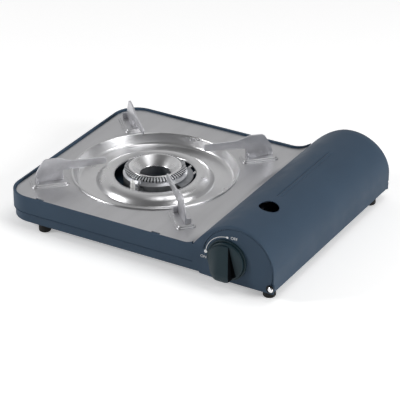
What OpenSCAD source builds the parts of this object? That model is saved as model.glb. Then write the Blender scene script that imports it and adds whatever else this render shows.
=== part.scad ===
// Slim single-burner butane cassette stove, in millimetres.
// X runs along the width with the canister bay at +X, Y from the knob at the front to the back, Z up.
// The origin lies on the ground under the middle of the whole object.

/* [Case] */
// Overall width of the case
case_w = 340; // [330:1:370]
// Depth of the canister side of the case
case_d = 272; // [262:1:290]
// How far the burner side's front wall lies behind the front plate
front_step = 1; // [0.6:0.1:2]
// How far the burner side's rear wall lies in front of the rear plate
rear_step = 10.7; // [8:0.1:14]
// Radius of the case's upright corners on the left
corner_r = 30; // [24:1:36]
// Thickness of the case's sheet steel
sheet = 1; // [0.8:0.1:1.2]
// Height of the case floor's underside above the ground
floor_z = 9; // [8:0.5:14]
// Height from the floor's underside to the top of the rim
case_h = 32; // [30:0.5:38]
// Width of the rim round the top plate
rim_w = 2.7; // [2.4:0.1:4]
// Height from the floor's underside to the edge where the shell laps over the tray
lap_h = 11.5; // [10:0.5:14]
// How far the tray's wall is set in from the shell's face
tray_inset = 2; // [1.6:0.1:3]

/* [Top plate] */
// Depth of the top plate below the rim
plate_drop = 2.2; // [1.6:0.1:3]
// Thickness of the top plate
plate_t = 0.8; // [0.6:0.1:1]
// Radius of the curl at the top plate's right edge
curl_r = 20; // [16:1:24]
// Length of a raised pad under a pan support
pad_l = 43; // [40:1:46]
// Width of a raised pad under a pan support
pad_w = 22; // [18:1:24]
// Height of a raised pad
pad_h = 3.2; // [2.4:0.1:4]

/* [Burner] */
// Distance from the left face of the case to the drip bowl's rim
bowl_side = 23; // [20:0.5:26]
// Distance from the drip bowl's rim to the lid
bowl_to_lid = 30; // [28:0.5:34]
// Distance from the front plate to the burner's axis
burner_from_front = 131.3; // [126:0.5:136]
// Gap round the burner's base in the hole of the drip bowl
bowl_gap = 9.8; // [9:0.2:11]
// Height of the burner cap's rim above the top plate
cap_rise = 6.9; // [5:0.1:10]
// Radius of the funnel's rim
funnel_r = 27; // [25:0.5:28.5]
// Radius of the hole in the funnel
funnel_hole_r = 17.2; // [15.8:0.2:17.4]
// Width of the cap's lip outside the funnel's rim
cap_lip = 2.6; // [2:0.1:3]
// Width of the sloped slotted ring outside the lip
slot_run = 5; // [4:0.1:6]
// Number of flame slots
slot_n = 60; // [36:1:60]
// Width of a flame slot
slot_w = 1.6; // [1:0.1:2]
// Radius of the mixing tube
tube_r = 7.5; // [6.5:0.1:7.6]

/* [Pan supports] */
// Thickness of a pan support blade
blade_t = 2; // [1.6:0.1:2.2]
// Distance from the burner's axis to the inner tip of a blade
blade_in = 56; // [50:1:60]
// Distance from the drip bowl's rim to the foot of a blade
foot_gap = 10.5; // [9:0.5:12]
// Length of a blade's foot
foot_l = 31; // [28:1:34]
// Height of the pan's seat above the top plate
seat_h = 25; // [22:0.5:30]
// Height of the outer hump above the pan's seat
hump_h = 4.8; // [3:0.1:6]
// Width of the lug bent out at each end of a blade's foot
lug_w = 5.4; // [4:0.2:6.4]
// Height of the bent lug
lug_h = 6.4; // [4:0.2:8]

/* [Canister bay] */
// Radius of the canister that the bay takes
can_r = 34; // [33.5:0.1:35]
// Distance from the canister's axis to the right face of the case
can_from_right = 46; // [44:0.5:48]
// Height of the trough's underside above the ground
trough_z = 4.4; // [3:0.2:6]
// Play between the canister and the trough
trough_play = 0.8; // [0.5:0.1:1.5]
// Play between the canister and the lid
lid_play = 1.3; // [1:0.1:2.5]
// Distance from the front plate to the plate that holds the canister socket
socket_from_front = 62; // [60:1:66]
// Radius of the socket that takes the canister's collar
socket_r = 17.3; // [16.5:0.1:17.6]
// Length of the socket's bore
socket_l = 9; // [7:0.5:10]

/* [Lid] */
// Width of the lid
lid_w = 98; // [96:1:100]
// Radius of the lid's arch
lid_r = 45; // [44:0.5:46]
// Radius of the front plate's arch inside the lid's front flange
seam_front_r = 42; // [41:0.2:42.4]
// Radius of the rear plate's arch inside the lid's rear flange
seam_rear_r = 36; // [34:0.5:37]
// Radius of the round window in the lid
window_r = 11; // [9:0.5:12]
// Distance from the front plate to the middle of the window
window_from_front = 59.5; // [56:0.5:64]
// Radius of the hinge pins
pin_r = 2; // [1.8:0.1:2.1]
// Height of the hinge pins above the ground
pin_z = 15.4; // [15.2:0.1:16]

/* [Knob] */
// Radius of the knob
knob_r = 21.2; // [20:0.2:21.6]
// How far the knob's grip stands out from the front plate
knob_out = 14.3; // [13:0.1:17]
// Distance from the knob's axis to the right face of the case
knob_from_right = 55.5; // [54:0.5:57]
// Height of the knob's axis above the ground
knob_z = 36; // [35:0.5:37]
// Radius of the valve spindle
spindle_r = 4; // [3.5:0.1:4.2]
// Travel of the igniter's plunger over the knob's quarter turn
plunger_travel = 4; // [3:0.1:4]

/* [Feet] */
// Radius of a foot
foot_r = 7; // [6:0.5:7.4]
// Distance from the front plate to the front feet
foot_front = 12; // [12:0.5:16]
// Distance from the rear plate to the rear feet
foot_rear = 24; // [23:0.5:28]
// Distance from the left face of the case to the left feet
foot_left = 47.5; // [40:0.5:56]
// Distance from the right face of the case to the right feet
foot_right = 11.5; // [11:0.5:13]

/* [Clearances] */
// Gap between neighbouring pieces that are not a fit
gap = 0.3; // [0.25:0.05:0.4]
// Radial clearance of a shaft or pin in its hole
run = 0.05; // [0.02:0.01:0.08]

/* [Hidden] */
$fn = 64;
eps = 0.01;
big = 600;
pin_head_t = 1.6;
boss_t = 1.4;
boss_r = 4.4;
head_r = 3;
total_d = knob_out + case_d + pin_head_t;
xr = case_w / 2;
xl = -xr;
front_y = knob_out - total_d / 2;
back_y = front_y + case_d;
bfront_y = front_y + front_step;
bback_y = back_y - rear_step;
rim_z = floor_z + case_h;
lap_z = floor_z + lap_h;
floor_t = 1.2;
deck_z = floor_z + floor_t;
panel_z = rim_z - plate_drop;
ledge_z = panel_z - plate_t;
bowl_r = (case_w - lid_w - bowl_side - bowl_to_lid) / 2;
burner_x = xl + bowl_side + bowl_r;
lip_r = funnel_r + cap_lip;
ring_r = lip_r + slot_run;
base_r = ring_r + 1.4;
bowl_hole_r = base_r + bowl_gap;
duct_r = funnel_hole_r + 3;
foot_in_x = bowl_r + foot_gap;
foot_out_x = foot_in_x + foot_l;
burner_y = front_y + burner_from_front;
can_x = xr - can_from_right;
can_z = trough_z + sheet + trough_play + can_r;
lid_top = can_z + can_r + lid_play + sheet;
lid_x = xr - lid_w;
arc_x = xr - lid_r;
arc_z = lid_top - lid_r;
seam_x = arc_x + 1.3;
knob_x = xr - knob_from_right;
pin_x = xr - 3.2;
lid_edge_z = pin_z - 3.1;
plate_step_z = pin_z + 4.1;
flange_z = plate_step_z + 1.5;
skirt_gap = 0.5;
tray_x = pin_x - 0.6;
socket_y = front_y + socket_from_front;

// Points along an arc from angle a0 to a1
function arc(cx, cy, r, a0, a1, n = 10) =
    [for (i = [0:n]) let (a = a0 + (a1 - a0) * i / n) [cx + r * cos(a), cy + r * sin(a)]];

// Points of a smooth step from p to q, level at both ends
function sway(p, q, n = 10) =
    [for (i = [0:n]) let (t = i / n)
        [p[0] + (q[0] - p[0]) * t, p[1] + (q[1] - p[1]) * (1 - cos(180 * t)) / 2]];

// Unit normal to the left of the step from a to b
function left_of(a, b) = let (d = b - a) [-d[1], d[0]] / norm(d);

// Points of a path moved sideways by t
function beside(path, t) =
    [for (i = [0:len(path) - 1])
        let (a = path[max(0, i - 1)], b = path[min(len(path) - 1, i + 1)])
            path[i] + t * left_of(a, b)];

// Closed section of a sheet of thickness t that follows a path
function sheet_of(path, t) =
    let (other = beside(path, t)) concat(path, [for (i = [len(other) - 1:-1:0]) other[i]]);

// Outline of the case seen from above, drawn in by d, ending at x_end on the right
function outline(d, x_end) = concat(
    arc(xl + corner_r, bfront_y + corner_r, corner_r - d, 180, 270, 12),
    sway([lid_x + 10, bfront_y + d], [lid_x + 26, front_y + d], 6),
    [[x_end, front_y + d], [x_end, back_y - d]],
    sway([lid_x + 8, back_y - d], [lid_x - 20, bback_y - d], 12),
    arc(xl + corner_r, bback_y - corner_r, corner_r - d, 90, 180, 12)
);

// Ring between two drawn-in outlines
module wall_2d(d0, d1, x_end) {
    difference() {
        polygon(outline(d0, x_end));
        polygon(outline(d1, x_end + big));
    }
}

// Extrudes an x, z section along Y from y0 to y1
module along_y(y0, y1) {
    translate([0, y1, 0])
        rotate([90, 0, 0])
            linear_extrude(y1 - y0)
                children();
}

// Straight rod of radius r between two points
module rod(p, q, r) {
    d = q - p;
    translate(p)
        rotate([0, acos(d[2] / norm(d)), atan2(d[1], d[0])])
            cylinder(r = r, h = norm(d));
}

// Case

foot_pos = [
    [xl + foot_left, front_y + foot_front],
    [xr - foot_right, front_y + foot_front],
    [xl + foot_left, back_y - foot_rear],
    [xr - foot_right, back_y - foot_rear]
];
foot_stem_r = 3;
foot_stem_h = 3.4;
trough_y0 = socket_y + 3;
trough_y1 = back_y - 8;
trough_r = can_r + trough_play;
lap_top = lap_z + 5.5;
lap_inset = sheet + gap;
case_screw_x = [xl + 50, xl + 115, xl + 180];
case_screw_z = lap_z + 2.8;
case_screw_r = 1.5;
vent_w = 4;
vent_l = 36;
vent_pitch = 12;

module trough_cut(r) {
    intersection() {
        along_y(trough_y0 - (r - trough_r), trough_y1 + (r - trough_r))
            translate([can_x, can_z])
                circle(r = r, $fn = 128);
        translate([can_x - big / 2, -big / 2, 0])
            cube([big, big, deck_z + (r > trough_r ? -eps : 1)]);
    }
}

tray_joint_x = lid_x + 14;

module whole_tray() {
    difference() {
        union() {
            translate([0, 0, floor_z])
                linear_extrude(floor_t)
                    polygon(outline(tray_inset + 1.6, tray_x));
            translate([0, 0, floor_z + floor_t])
                linear_extrude(1.2)
                    wall_2d(tray_inset + 0.5, tray_inset + 3.2, tray_x - 6);
            translate([0, 0, floor_z + 1.2])
                linear_extrude(lap_z - floor_z - 1.2)
                    wall_2d(tray_inset, tray_inset + sheet, tray_x - 6);
            translate([0, 0, lap_z - sheet])
                linear_extrude(sheet)
                    wall_2d(lap_inset, tray_inset + sheet, tray_x - 6);
            translate([0, 0, lap_z - sheet])
                linear_extrude(lap_top - lap_z + sheet)
                    wall_2d(lap_inset, lap_inset + sheet, tray_x - 6);
            trough_cut(trough_r + sheet);
        }
        trough_cut(trough_r);
        for (p = foot_pos)
            translate([p[0], p[1], floor_z - 1])
                cylinder(r = foot_stem_r + run, h = floor_t + 2);
        for (i = [-3:3])
            for (side = [-1, 1])
                translate([burner_x + i * vent_pitch - vent_w / 2, burner_y + side * 76 - vent_l / 2, 0])
                    cube([vent_w, vent_l, deck_z + 1]);
        for (x = case_screw_x)
            translate([x, bback_y + 1, case_screw_z])
                rotate([90, 0, 0])
                    cylinder(r = case_screw_r + run, h = lap_inset + 4);
    }
}

// The tray under the burner, up to the joint behind the front plate's left end
module lower_tray() {
    color("#39454f")
    intersection() {
        whole_tray();
        translate([-big / 2, -big / 2, -1])
            cube([big / 2 + tray_joint_x - gap / 2, big, big]);
    }
}

// The tray under the canister bay, with its trough
module bay_tray() {
    color("#39454f")
    intersection() {
        whole_tray();
        translate([tray_joint_x + gap / 2, -big / 2, -1])
            cube([big, big, big]);
    }
}

// Height of the rim's top and of the top plate over x, with the curl before the lid
module band_2d(z_low, z_top) {
    x0 = lid_x - 12;
    rise = curl_r - sqrt(curl_r * curl_r - 12 * 12);
    polygon(concat(
        [[xl - 1, z_low], [xl - 1, z_top]],
        arc(x0, z_top + curl_r, curl_r, 270, 270 + asin((12 - gap) / curl_r), 8),
        [[lid_x - gap, z_low + (z_low < z_top - 2 ? 0 : rise)]]
    ));
}

front_arch_r = seam_front_r - 0.45;
rear_arch_r = seam_rear_r - 0.45;
plate_low_z = floor_z + 0.6;

// Arched end plate of the shell in x and z, with the widened corner that holds the hinge pin
module end_plate_2d(r) {
    difference() {
        union() {
            intersection() {
                translate([seam_x, arc_z - 0.2])
                    circle(r = r, $fn = 160);
                translate([seam_x - r, plate_low_z])
                    square([2 * r, big]);
            }
            translate([lid_x + 8, plate_low_z])
                square([seam_x - lid_x - 8 + r * 0.7, rim_z - skirt_gap - plate_low_z]);
            translate([seam_x, plate_low_z])
                square([xr - gap - seam_x, plate_step_z - plate_low_z]);
        }
        translate([xr - gap, -eps])
            square([big, big]);
        translate([pin_x, pin_z])
            circle(r = pin_r + run);
    }
}

module body_shell() {
    color("#3a4d5e")
    difference() {
        union() {
            translate([0, 0, lap_z])
                linear_extrude(rim_z - skirt_gap - lap_z)
                    intersection() {
                        wall_2d(0, sheet, xr);
                        translate([xl - 1, -big / 2])
                            square([lid_x + 26 - xl + 1, big]);
                    }
            intersection() {
                translate([0, 0, ledge_z - sheet])
                    linear_extrude(big / 4)
                        wall_2d(0, rim_w - 0.4, xr);
                along_y(-big / 2, big / 2)
                    band_2d(ledge_z - sheet, rim_z - 0.6);
            }
            intersection() {
                translate([0, 0, ledge_z - sheet])
                    linear_extrude(big / 4)
                        wall_2d(0.5, rim_w, xr);
                along_y(-big / 2, big / 2)
                    band_2d(ledge_z - sheet, rim_z);
            }
            translate([0, 0, ledge_z - sheet])
                linear_extrude(sheet)
                    intersection() {
                        wall_2d(rim_w - 1, rim_w + 6, xr);
                        translate([xl - 1, -big / 2])
                            square([lid_x - 14 - xl, big]);
                    }
            along_y(front_y, front_y + sheet)
                end_plate_2d(front_arch_r);
            along_y(back_y - sheet, back_y)
                end_plate_2d(rear_arch_r);
        }
        translate([knob_x, front_y + sheet + 1, knob_z])
            rotate([90, 0, 0])
                cylinder(r = spindle_r + 2, h = sheet + 2);
        for (p = valve_posts)
            translate([p[0], front_y + sheet + 1, p[1]])
                rotate([90, 0, 0])
                    cylinder(r = valve_screw_r + run, h = sheet + 2);
        for (x = case_screw_x)
            translate([x, bback_y + 1, case_screw_z])
                rotate([90, 0, 0])
                    cylinder(r = case_screw_r + run, h = sheet + 1.2);
    }
}

module case_screws() {
    color("#9a9a9c")
    for (x = case_screw_x)
        translate([x, bback_y, case_screw_z])
            rotate([90, 0, 0]) {
                cylinder(r = case_screw_r, h = 6);
                translate([0, 0, -1.5])
                    difference() {
                        cylinder(r = 2.9, h = 1.5);
                        translate([-2.2, -0.3, -0.1])
                            cube([4.4, 0.6, 0.8]);
                        translate([-0.3, -2.2, -0.1])
                            cube([0.6, 4.4, 0.8]);
                    }
            }
}

// Top plate and drip bowl

bowl_seat_r = bowl_r - 1.7;
pad_mid = (foot_in_x + foot_out_x) / 2;

module at_burner() {
    translate([burner_x, burner_y, 0])
        children();
}

module on_pad(angle) {
    at_burner()
        rotate([0, 0, angle])
            translate([pad_mid, 0, 0])
                children();
}

module pad_2d(inset, r) {
    l = pad_l - 2 * inset;
    w = pad_w - 2 * inset;
    square([l - 2 * r, w], center = true);
    square([l, w - 2 * r], center = true);
    for (sx = [-1, 1])
        for (sy = [-1, 1])
            translate([sx * (l / 2 - r), sy * (w / 2 - r)])
                circle(r = r, $fn = 32);
}

module top_plate() {
    color("#a3a3a8")
    difference() {
        union() {
            intersection() {
                translate([0, 0, ledge_z - 1])
                    linear_extrude(big / 4)
                        polygon(outline(rim_w + gap, lid_x + 20));
                along_y(-big / 2, big / 2)
                    polygon(sheet_of(concat(
                        [[xl, panel_z]],
                        arc(lid_x - 12, panel_z + curl_r, curl_r, 270, 270 + asin((12 - gap) / curl_r), 8)
                    ), -plate_t));
            }
            for (a = [45, 135, 225, 315])
                on_pad(a) {
                    translate([0, 0, panel_z - plate_t])
                        linear_extrude(plate_t + pad_h * 0.45)
                            pad_2d(0, 5.6);
                    translate([0, 0, panel_z])
                        linear_extrude(pad_h * 0.88)
                            pad_2d(1.8, 4.4);
                    translate([0, 0, panel_z])
                        linear_extrude(pad_h)
                            pad_2d(2.3, 4);
                }
        }
        at_burner()
            translate([0, 0, panel_z - 5])
                cylinder(r = bowl_seat_r, h = 10, $fn = 160);
        for (a = [45, 135, 225, 315])
            on_pad(a) {
                translate([0, 0, panel_z - plate_t - 1])
                    linear_extrude(pad_h + 1)
                        pad_2d(1.8 + plate_t, 3.2);
                for (x = [-tab_at, tab_at])
                    translate([x - tab_l / 2 - gap, -blade_t / 2 - gap, panel_z - 2])
                        cube([tab_l + 2 * gap, blade_t + 2 * gap, pad_h + 4]);
            }
        for (x = notch_x)
            translate([x, bfront_y + rim_w, panel_z - 3])
                cube([notch_l, 3, 6]);
    }
}

notch_l = 10.5;
notch_x = [xl + 39.5, lid_x - 54.5];

// Section of the drip bowl's upper surface, from the rim to the hole
bead_r = 1.5;
bowl_floor_z = panel_z - 11.4;
crest_r = 14;
crest_z = panel_z - 1.9;
crest_x = bowl_hole_r + 6.7;
rim_x = bowl_r - bead_r;
bowl_path = concat(
    [[bowl_r, panel_z + 0.05]],
    arc(rim_x, panel_z + 0.2, bead_r, 0, 168, 8),
    arc(rim_x - 8.5, bowl_floor_z + 4.2, 4.2, -12, -90, 6),
    arc(crest_x + 15.2, bowl_floor_z + 2.4, 2.4, -90, -150, 4),
    arc(crest_x, crest_z - crest_r, crest_r, 30, 117, 11),
    [[bowl_hole_r, crest_z - 3.2]]
);

module drip_bowl() {
    color("#c4c5c8")
    at_burner()
        rotate_extrude($fn = 160)
            polygon(sheet_of(bowl_path, plate_t));
}

// Pan supports

tab_at = 11;
tab_l = 6;
tab_h = 7;

// Blade in its own plane: distance from the burner's axis along x, height above the top plate along y
module blade_2d() {
    arm_low = seat_h - 10.4;
    polygon(concat(
        [[foot_in_x, pad_h], [foot_in_x, arm_low - 2]],
        arc(foot_in_x - 2, arm_low - 2, 2, 0, 82, 4),
        arc(blade_in + 2.5, arm_low + 4.9, 2.5, 264, 180, 4),
        arc(blade_in + 2.5, seat_h - 2.7, 2.5, 180, 96, 4),
        [[foot_in_x - 14, seat_h]],
        sway([foot_in_x - 13, seat_h], [foot_in_x + 8, seat_h + hump_h], 10),
        arc(foot_out_x - 13.5, seat_h + hump_h - 6.5, 6.5, 90, 25, 5),
        [[foot_out_x - 1.5, seat_h - 9], [foot_out_x + 0.5, seat_h - 17], [foot_out_x + 0.5, pad_h]],
        [for (x = [tab_at, -tab_at]) for (c = [[1, 0], [1, 1], [-1, 1], [-1, 0]])
            [pad_mid + x + c[0] * tab_l / 2, pad_h - c[1] * tab_h]]
    ));
}

// One blade with the lugs bent out of it at the ends of its foot
module pan_support(angle) {
    color("#83848c")
    at_burner()
        rotate([0, 0, angle])
            union() {
                translate([0, blade_t / 2, panel_z])
                    rotate([90, 0, 0])
                        linear_extrude(blade_t)
                            blade_2d();
                translate([foot_out_x - 1.8, 0, panel_z + pad_h])
                    cube([2, blade_t / 2 + lug_w, lug_h]);
                translate([foot_in_x + 0.3, -blade_t / 2 - lug_w, panel_z + pad_h])
                    cube([2, blade_t / 2 + lug_w, lug_h]);
            }
}

module pan_support_br() {
    pan_support(45);
}

module pan_support_bl() {
    pan_support(135);
}

module pan_support_fl() {
    pan_support(225);
}

module pan_support_fr() {
    pan_support(315);
}

// Burner

cap_z = panel_z + cap_rise;
base_top = cap_z - 9.4;
base_low = deck_z + 4;
tube_z = base_low + 4.8;
tube_wall = 1;
bend_x = burner_x + 62;
throat = [lid_x - 9.8, front_y + 59.7, tube_z];
bend = [bend_x, burner_y, tube_z];
leg = (throat - bend) / norm(throat - bend);
valve_post = 16.8;
valve_posts = [for (a = [45, 135]) [knob_x + valve_post * cos(a), knob_z + valve_post * sin(a)]];
valve_screw_r = 1.6;

module burner_base() {
    color("#8d9096")
    difference() {
        at_burner() {
            rotate_extrude($fn = 96)
                polygon([
                    [duct_r, base_low], [base_r - 3, base_low], [base_r, base_low + 5],
                    [base_r, base_top], [base_r - 2.2, base_top], [base_r - 2.2, base_low + 6],
                    [base_r - 4.4, base_low + 2.2], [duct_r + 2, base_low + 2.2], [duct_r + 2, base_top - 1.3],
                    [duct_r, base_top - 1.3]
                ]);
            rotate([0, 0, -16])
                rotate_extrude(angle = 72, $fn = 96)
                    polygon([
                        [base_r - 1, base_top - 6], [base_r + 6.7, base_top - 5],
                        [base_r + 6.7, base_top - 3], [base_r - 1, base_top - 2]
                    ]);
            for (s = [-1, 1])
                rotate([0, 0, bracket_turn])
                    translate([0, s * (base_r + 4), base_low])
                    difference() {
                        union() {
                            cylinder(r = 5, h = 3);
                            translate([-5, s > 0 ? -8 : 0, 0])
                                cube([10, 8, 3]);
                        }
                        translate([0, 0, -1])
                            cylinder(r = burner_screw_r + run, h = 5);
                    }
        }
        rod([burner_x + duct_r + 4, burner_y, tube_z], bend, tube_r + run);
    }
}

burner_screw_r = 2;
bracket_turn = 30;

module mixing_tube() {
    color("#a8a9ad")
    difference() {
        union() {
            rod([burner_x + base_r - 1.8, burner_y, tube_z], bend, tube_r);
            translate(bend - [0, 0, tube_r + 0.4])
                cylinder(r = tube_r + 0.6, h = 2 * tube_r + 0.2, $fn = 96);
            rod(bend, throat, tube_r - 0.05);
            rod(throat - 10 * leg, throat, tube_r + 0.4);
        }
        rod([burner_x + base_r - 5, burner_y, tube_z], bend, tube_r - tube_wall);
        translate(bend - [0, 0, tube_r - 1.1])
            cylinder(r = tube_r - tube_wall + 0.4, h = 2 * tube_r - 2.6, $fn = 96);
        rod(bend, throat + leg, tube_r - tube_wall - 0.05);
        translate(throat - 7 * leg + [0, 0, tube_r - 3])
            cylinder(r = 3, h = 5);
    }
}

module burner_bracket() {
    color("#b4b5b8")
    at_burner()
        rotate([0, 0, bracket_turn])
        difference() {
            union() {
                translate([-8, -base_r - 11.4, base_low - 1.4])
                    cube([16, 2 * base_r + 22.8, 1.4]);
                translate([0, 0, base_low - 1.4])
                    cylinder(r = duct_r + 6, h = 1.4);
                for (s = [-1, 1])
                    translate([-8, s * (base_r + 10.7) - 0.7, deck_z])
                        cube([16, 1.4, base_low - deck_z]);
                for (s = [-1, 1])
                    translate([-8, s * (base_r + 14) - 4, deck_z])
                        cube([16, 8, 1.2]);
            }
            translate([0, 0, deck_z - 1])
                cylinder(r = duct_r, h = 10);
            for (s = [-1, 1])
                translate([0, s * (base_r + 4), deck_z])
                    cylinder(r = burner_screw_r + run, h = 10);
        }
}

module burner_screws() {
    color("#b9b9bb")
    at_burner()
        for (s = [-1, 1])
            rotate([0, 0, bracket_turn])
            translate([0, s * (base_r + 4), deck_z + gap]) {
                cylinder(r = burner_screw_r, h = base_low + 3 - deck_z);
                translate([0, 0, base_low + 3 - deck_z - gap])
                    difference() {
                        cylinder(r = 3.6, h = 2);
                        translate([-2.6, -0.35, 1])
                            cube([5.2, 0.7, 2]);
                        translate([-0.35, -2.6, 1])
                            cube([0.7, 5.2, 2]);
                    }
            }
}

module burner_ring() {
    color("#9b9ea3")
    at_burner()
        difference() {
            rotate_extrude($fn = 128)
                polygon([
                    [base_r + 0.4, base_top], [base_r + 0.4, base_top + 0.7], [ring_r - 0.6, cap_z - 6.4],
                    [ring_r - 0.6, cap_z - 4.6], [ring_r, cap_z - 4.2], [ring_r, cap_z - 3],
                    [ring_r - 0.4, cap_z - 2.6], [lip_r - 0.8, cap_z - 0.8], [lip_r - 1.4, cap_z - 0.8],
                    [lip_r - 1.4, cap_z - 2.6], [ring_r - 2.6, cap_z - 5.4], [ring_r - 2.6, base_top]
                ]);
            for (i = [0:slot_n - 1])
                rotate([0, 0, (i + 0.5) * 360 / slot_n])
                    translate([lip_r - 3, -slot_w / 2, cap_z - 3.9])
                        cube([slot_run + 4, slot_w, 3.1 + eps]);
        }
}

module burner_cap() {
    color("#c9cacd")
    at_burner()
        rotate_extrude($fn = 128)
            polygon([
                [funnel_hole_r, base_top - 1.3], [funnel_hole_r, cap_z - 9.6],
                [funnel_hole_r + 0.5, cap_z - 8.7], [funnel_r - 0.6, cap_z - 0.5], [funnel_r, cap_z - 0.05],
                [funnel_r + 0.6, cap_z], [lip_r - 0.3, cap_z - 0.4], [lip_r, cap_z - 0.8],
                [lip_r - 1.8, cap_z - 0.8], [funnel_hole_r + 3.2, cap_z - 8.4], [funnel_hole_r + 3.2, base_top - 1.3],
            ]);
}

// Electrode

electrode_x = burner_x - 4.2;
electrode_y = burner_y - base_r - 5.3;
ceramic_r = 2.75;
prong_x = burner_x + 1.6;
clamp_z = base_top - 7;

module flame_target() {
    color("#a9aaae")
    difference() {
        union() {
            translate([burner_x - 11, burner_y - base_r - 9.5, clamp_z])
                cube([18, 10.5, 1.2]);
            translate([burner_x - 11, burner_y - base_r - 2.4, clamp_z])
                cube([18, 1.2, 5]);
            translate([prong_x - 1.2, burner_y - base_r, clamp_z])
                rotate([90, 0, 90])
                    linear_extrude(2.4)
                        polygon([[-2.4, 0], [-1.2, 0], [-1.2, 8.8], [0.4, 12.4], [0.4, 14.6], [-2.4, 9.6]]);
        }
        translate([electrode_x, electrode_y, clamp_z - 1])
            cylinder(r = ceramic_r + run, h = 4);
        at_burner()
            cylinder(r = base_r + run, h = base_top);
    }
}

module electrode_ceramic() {
    color("#eceae4")
    difference() {
        translate([electrode_x, electrode_y, clamp_z]) {
            translate([0, 0, -5])
                cylinder(r = ceramic_r, h = 17.5);
            translate([0, 0, 12.5])
                cylinder(r1 = ceramic_r, r2 = 1.3, h = 2.4);
            translate([0, 0, -1.8])
                cylinder(r = ceramic_r + 1.1, h = 1.8);
        }
        translate([electrode_x, electrode_y, clamp_z - 6])
            cylinder(r = wire_r + run, h = 22);
    }
}

wire_r = 0.75;
wire_top = clamp_z + 17.5;

module electrode_wire() {
    color("#b8b9bd")
    union() {
        rod([electrode_x, electrode_y, clamp_z - 4.6], [electrode_x, electrode_y, wire_top], wire_r);
        translate([electrode_x, electrode_y, wire_top])
            sphere(r = wire_r + 0.1, $fn = 32);
        rod([electrode_x, electrode_y, wire_top], [electrode_x + 2, electrode_y + 4, wire_top + 1.6], wire_r);
    }
}

// Valve, igniter and knob

cam_y0 = front_y + 5;
cam_w = 4;
cam_low_r = 8.5;
cam_turn = 90;
piezo_y = cam_y0 + cam_w / 2;
piezo_x0 = lid_x + 6;
piezo_x1 = knob_x - cam_low_r - plunger_travel - 4.5;
piezo_half = piezo_y - bfront_y - sheet;
plunger_tip = knob_x - cam_low_r - gap - plunger_travel;
valve_y0 = front_y + 12;
valve_y1 = front_y + 34;
reg_y0 = valve_y1 - 4;
reg_y1 = socket_y - 5;
reg_r = 20;
cover_x = can_x + 19;

lead_r = 1.3;
lead_z = deck_z + lead_r + gap;
lead_path = [
    [electrode_x, electrode_y, clamp_z - 5],
    [electrode_x, electrode_y, lead_z],
    [electrode_x + 20, front_y + 40, lead_z],
    [lid_x - 12, front_y + 20, lead_z],
    [lid_x + 2.5, piezo_y, lead_z],
    [lid_x + 2.5, piezo_y, knob_z],
    [piezo_x0 - gap, piezo_y, knob_z]
];

module ignition_lead() {
    color("#d9d4c8")
    for (i = [1:len(lead_path) - 1]) {
        rod(lead_path[i - 1], lead_path[i], lead_r - 0.03 * (i % 2));
        if (i < len(lead_path) - 1)
            translate(lead_path[i])
                sphere(r = lead_r + 0.12, $fn = 32);
    }
}

module piezo_igniter() {
    color("#2b2b2e")
    difference() {
        translate([piezo_x0, piezo_y - piezo_half, knob_z - 6.5])
            cube([piezo_x1 - piezo_x0, 2 * piezo_half, 13]);
        translate([piezo_x1 - 12, piezo_y - 3.2, knob_z - 3.2])
            cube([13, 6.4, 6.4]);
    }
}

module piezo_plunger() {
    color("#e2e2de")
    translate([0, piezo_y, knob_z])
        rotate([0, 90, 0])
            union() {
                translate([-2.8, -2.8, plunger_tip - 10.5])
                    cube([5.6, 5.6, 10.5 - 1.5]);
                translate([0, 0, plunger_tip - 1.6])
                    cylinder(r = 2, h = 1.6);
            }
}

// Cam whose radius grows evenly over the knob's quarter turn, from the side that faces the plunger at rest
cam_grow = plunger_travel;

module ignition_cam() {
    color("#d6d6d2")
    translate([knob_x, cam_y0 + cam_w, knob_z])
        rotate([90, 0, 0])
            difference() {
                linear_extrude(cam_w)
                    polygon(concat(
                        [for (i = [0:36]) let (t = i / 36, a = 180 + 12 - t * (cam_turn + 24))
                            let (g = max(0, min(1, (180 - a) / cam_turn)))
                                (cam_low_r + cam_grow * g) * [cos(a), sin(a)]],
                        [for (i = [1:23]) let (a = 78 - i * (246 / 24)) cam_low_r * [cos(a), sin(a)]]
                    ));
                translate([0, 0, -1])
                    cylinder(r = spindle_r + run, h = cam_w + 2);
            }
}

module gas_nozzle() {
    color("#c9a24a")
    difference() {
        union() {
            rod(throat - 2 * leg, throat + 8 * leg, 2.2);
            rod(throat + 6 * leg, throat + 16 * leg, 5);
        }
        rod(throat - 3 * leg, throat + 12 * leg, 0.6);
        rod(throat + 11 * leg, throat + 17 * leg, pipe_r + run);
    }
}

pipe_r = 2.5;
riser_side = 6;
riser = [knob_x - riser_side, valve_y0 + 12, tube_z];
pipe_bend = throat + 20 * leg;

module gas_pipe() {
    color("#b98d4c")
    union() {
        rod(throat + 11.5 * leg, pipe_bend, pipe_r);
        translate(pipe_bend - [0, 0, 3.6])
            cylinder(r = 3.6, h = 7.2);
        rod(pipe_bend, riser, pipe_r);
        translate(riser - [0, 0, 3.6])
            cylinder(r = 3.6, h = 5.4);
        translate(riser)
            cylinder(r = pipe_r, h = 6);
    }
}

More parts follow.
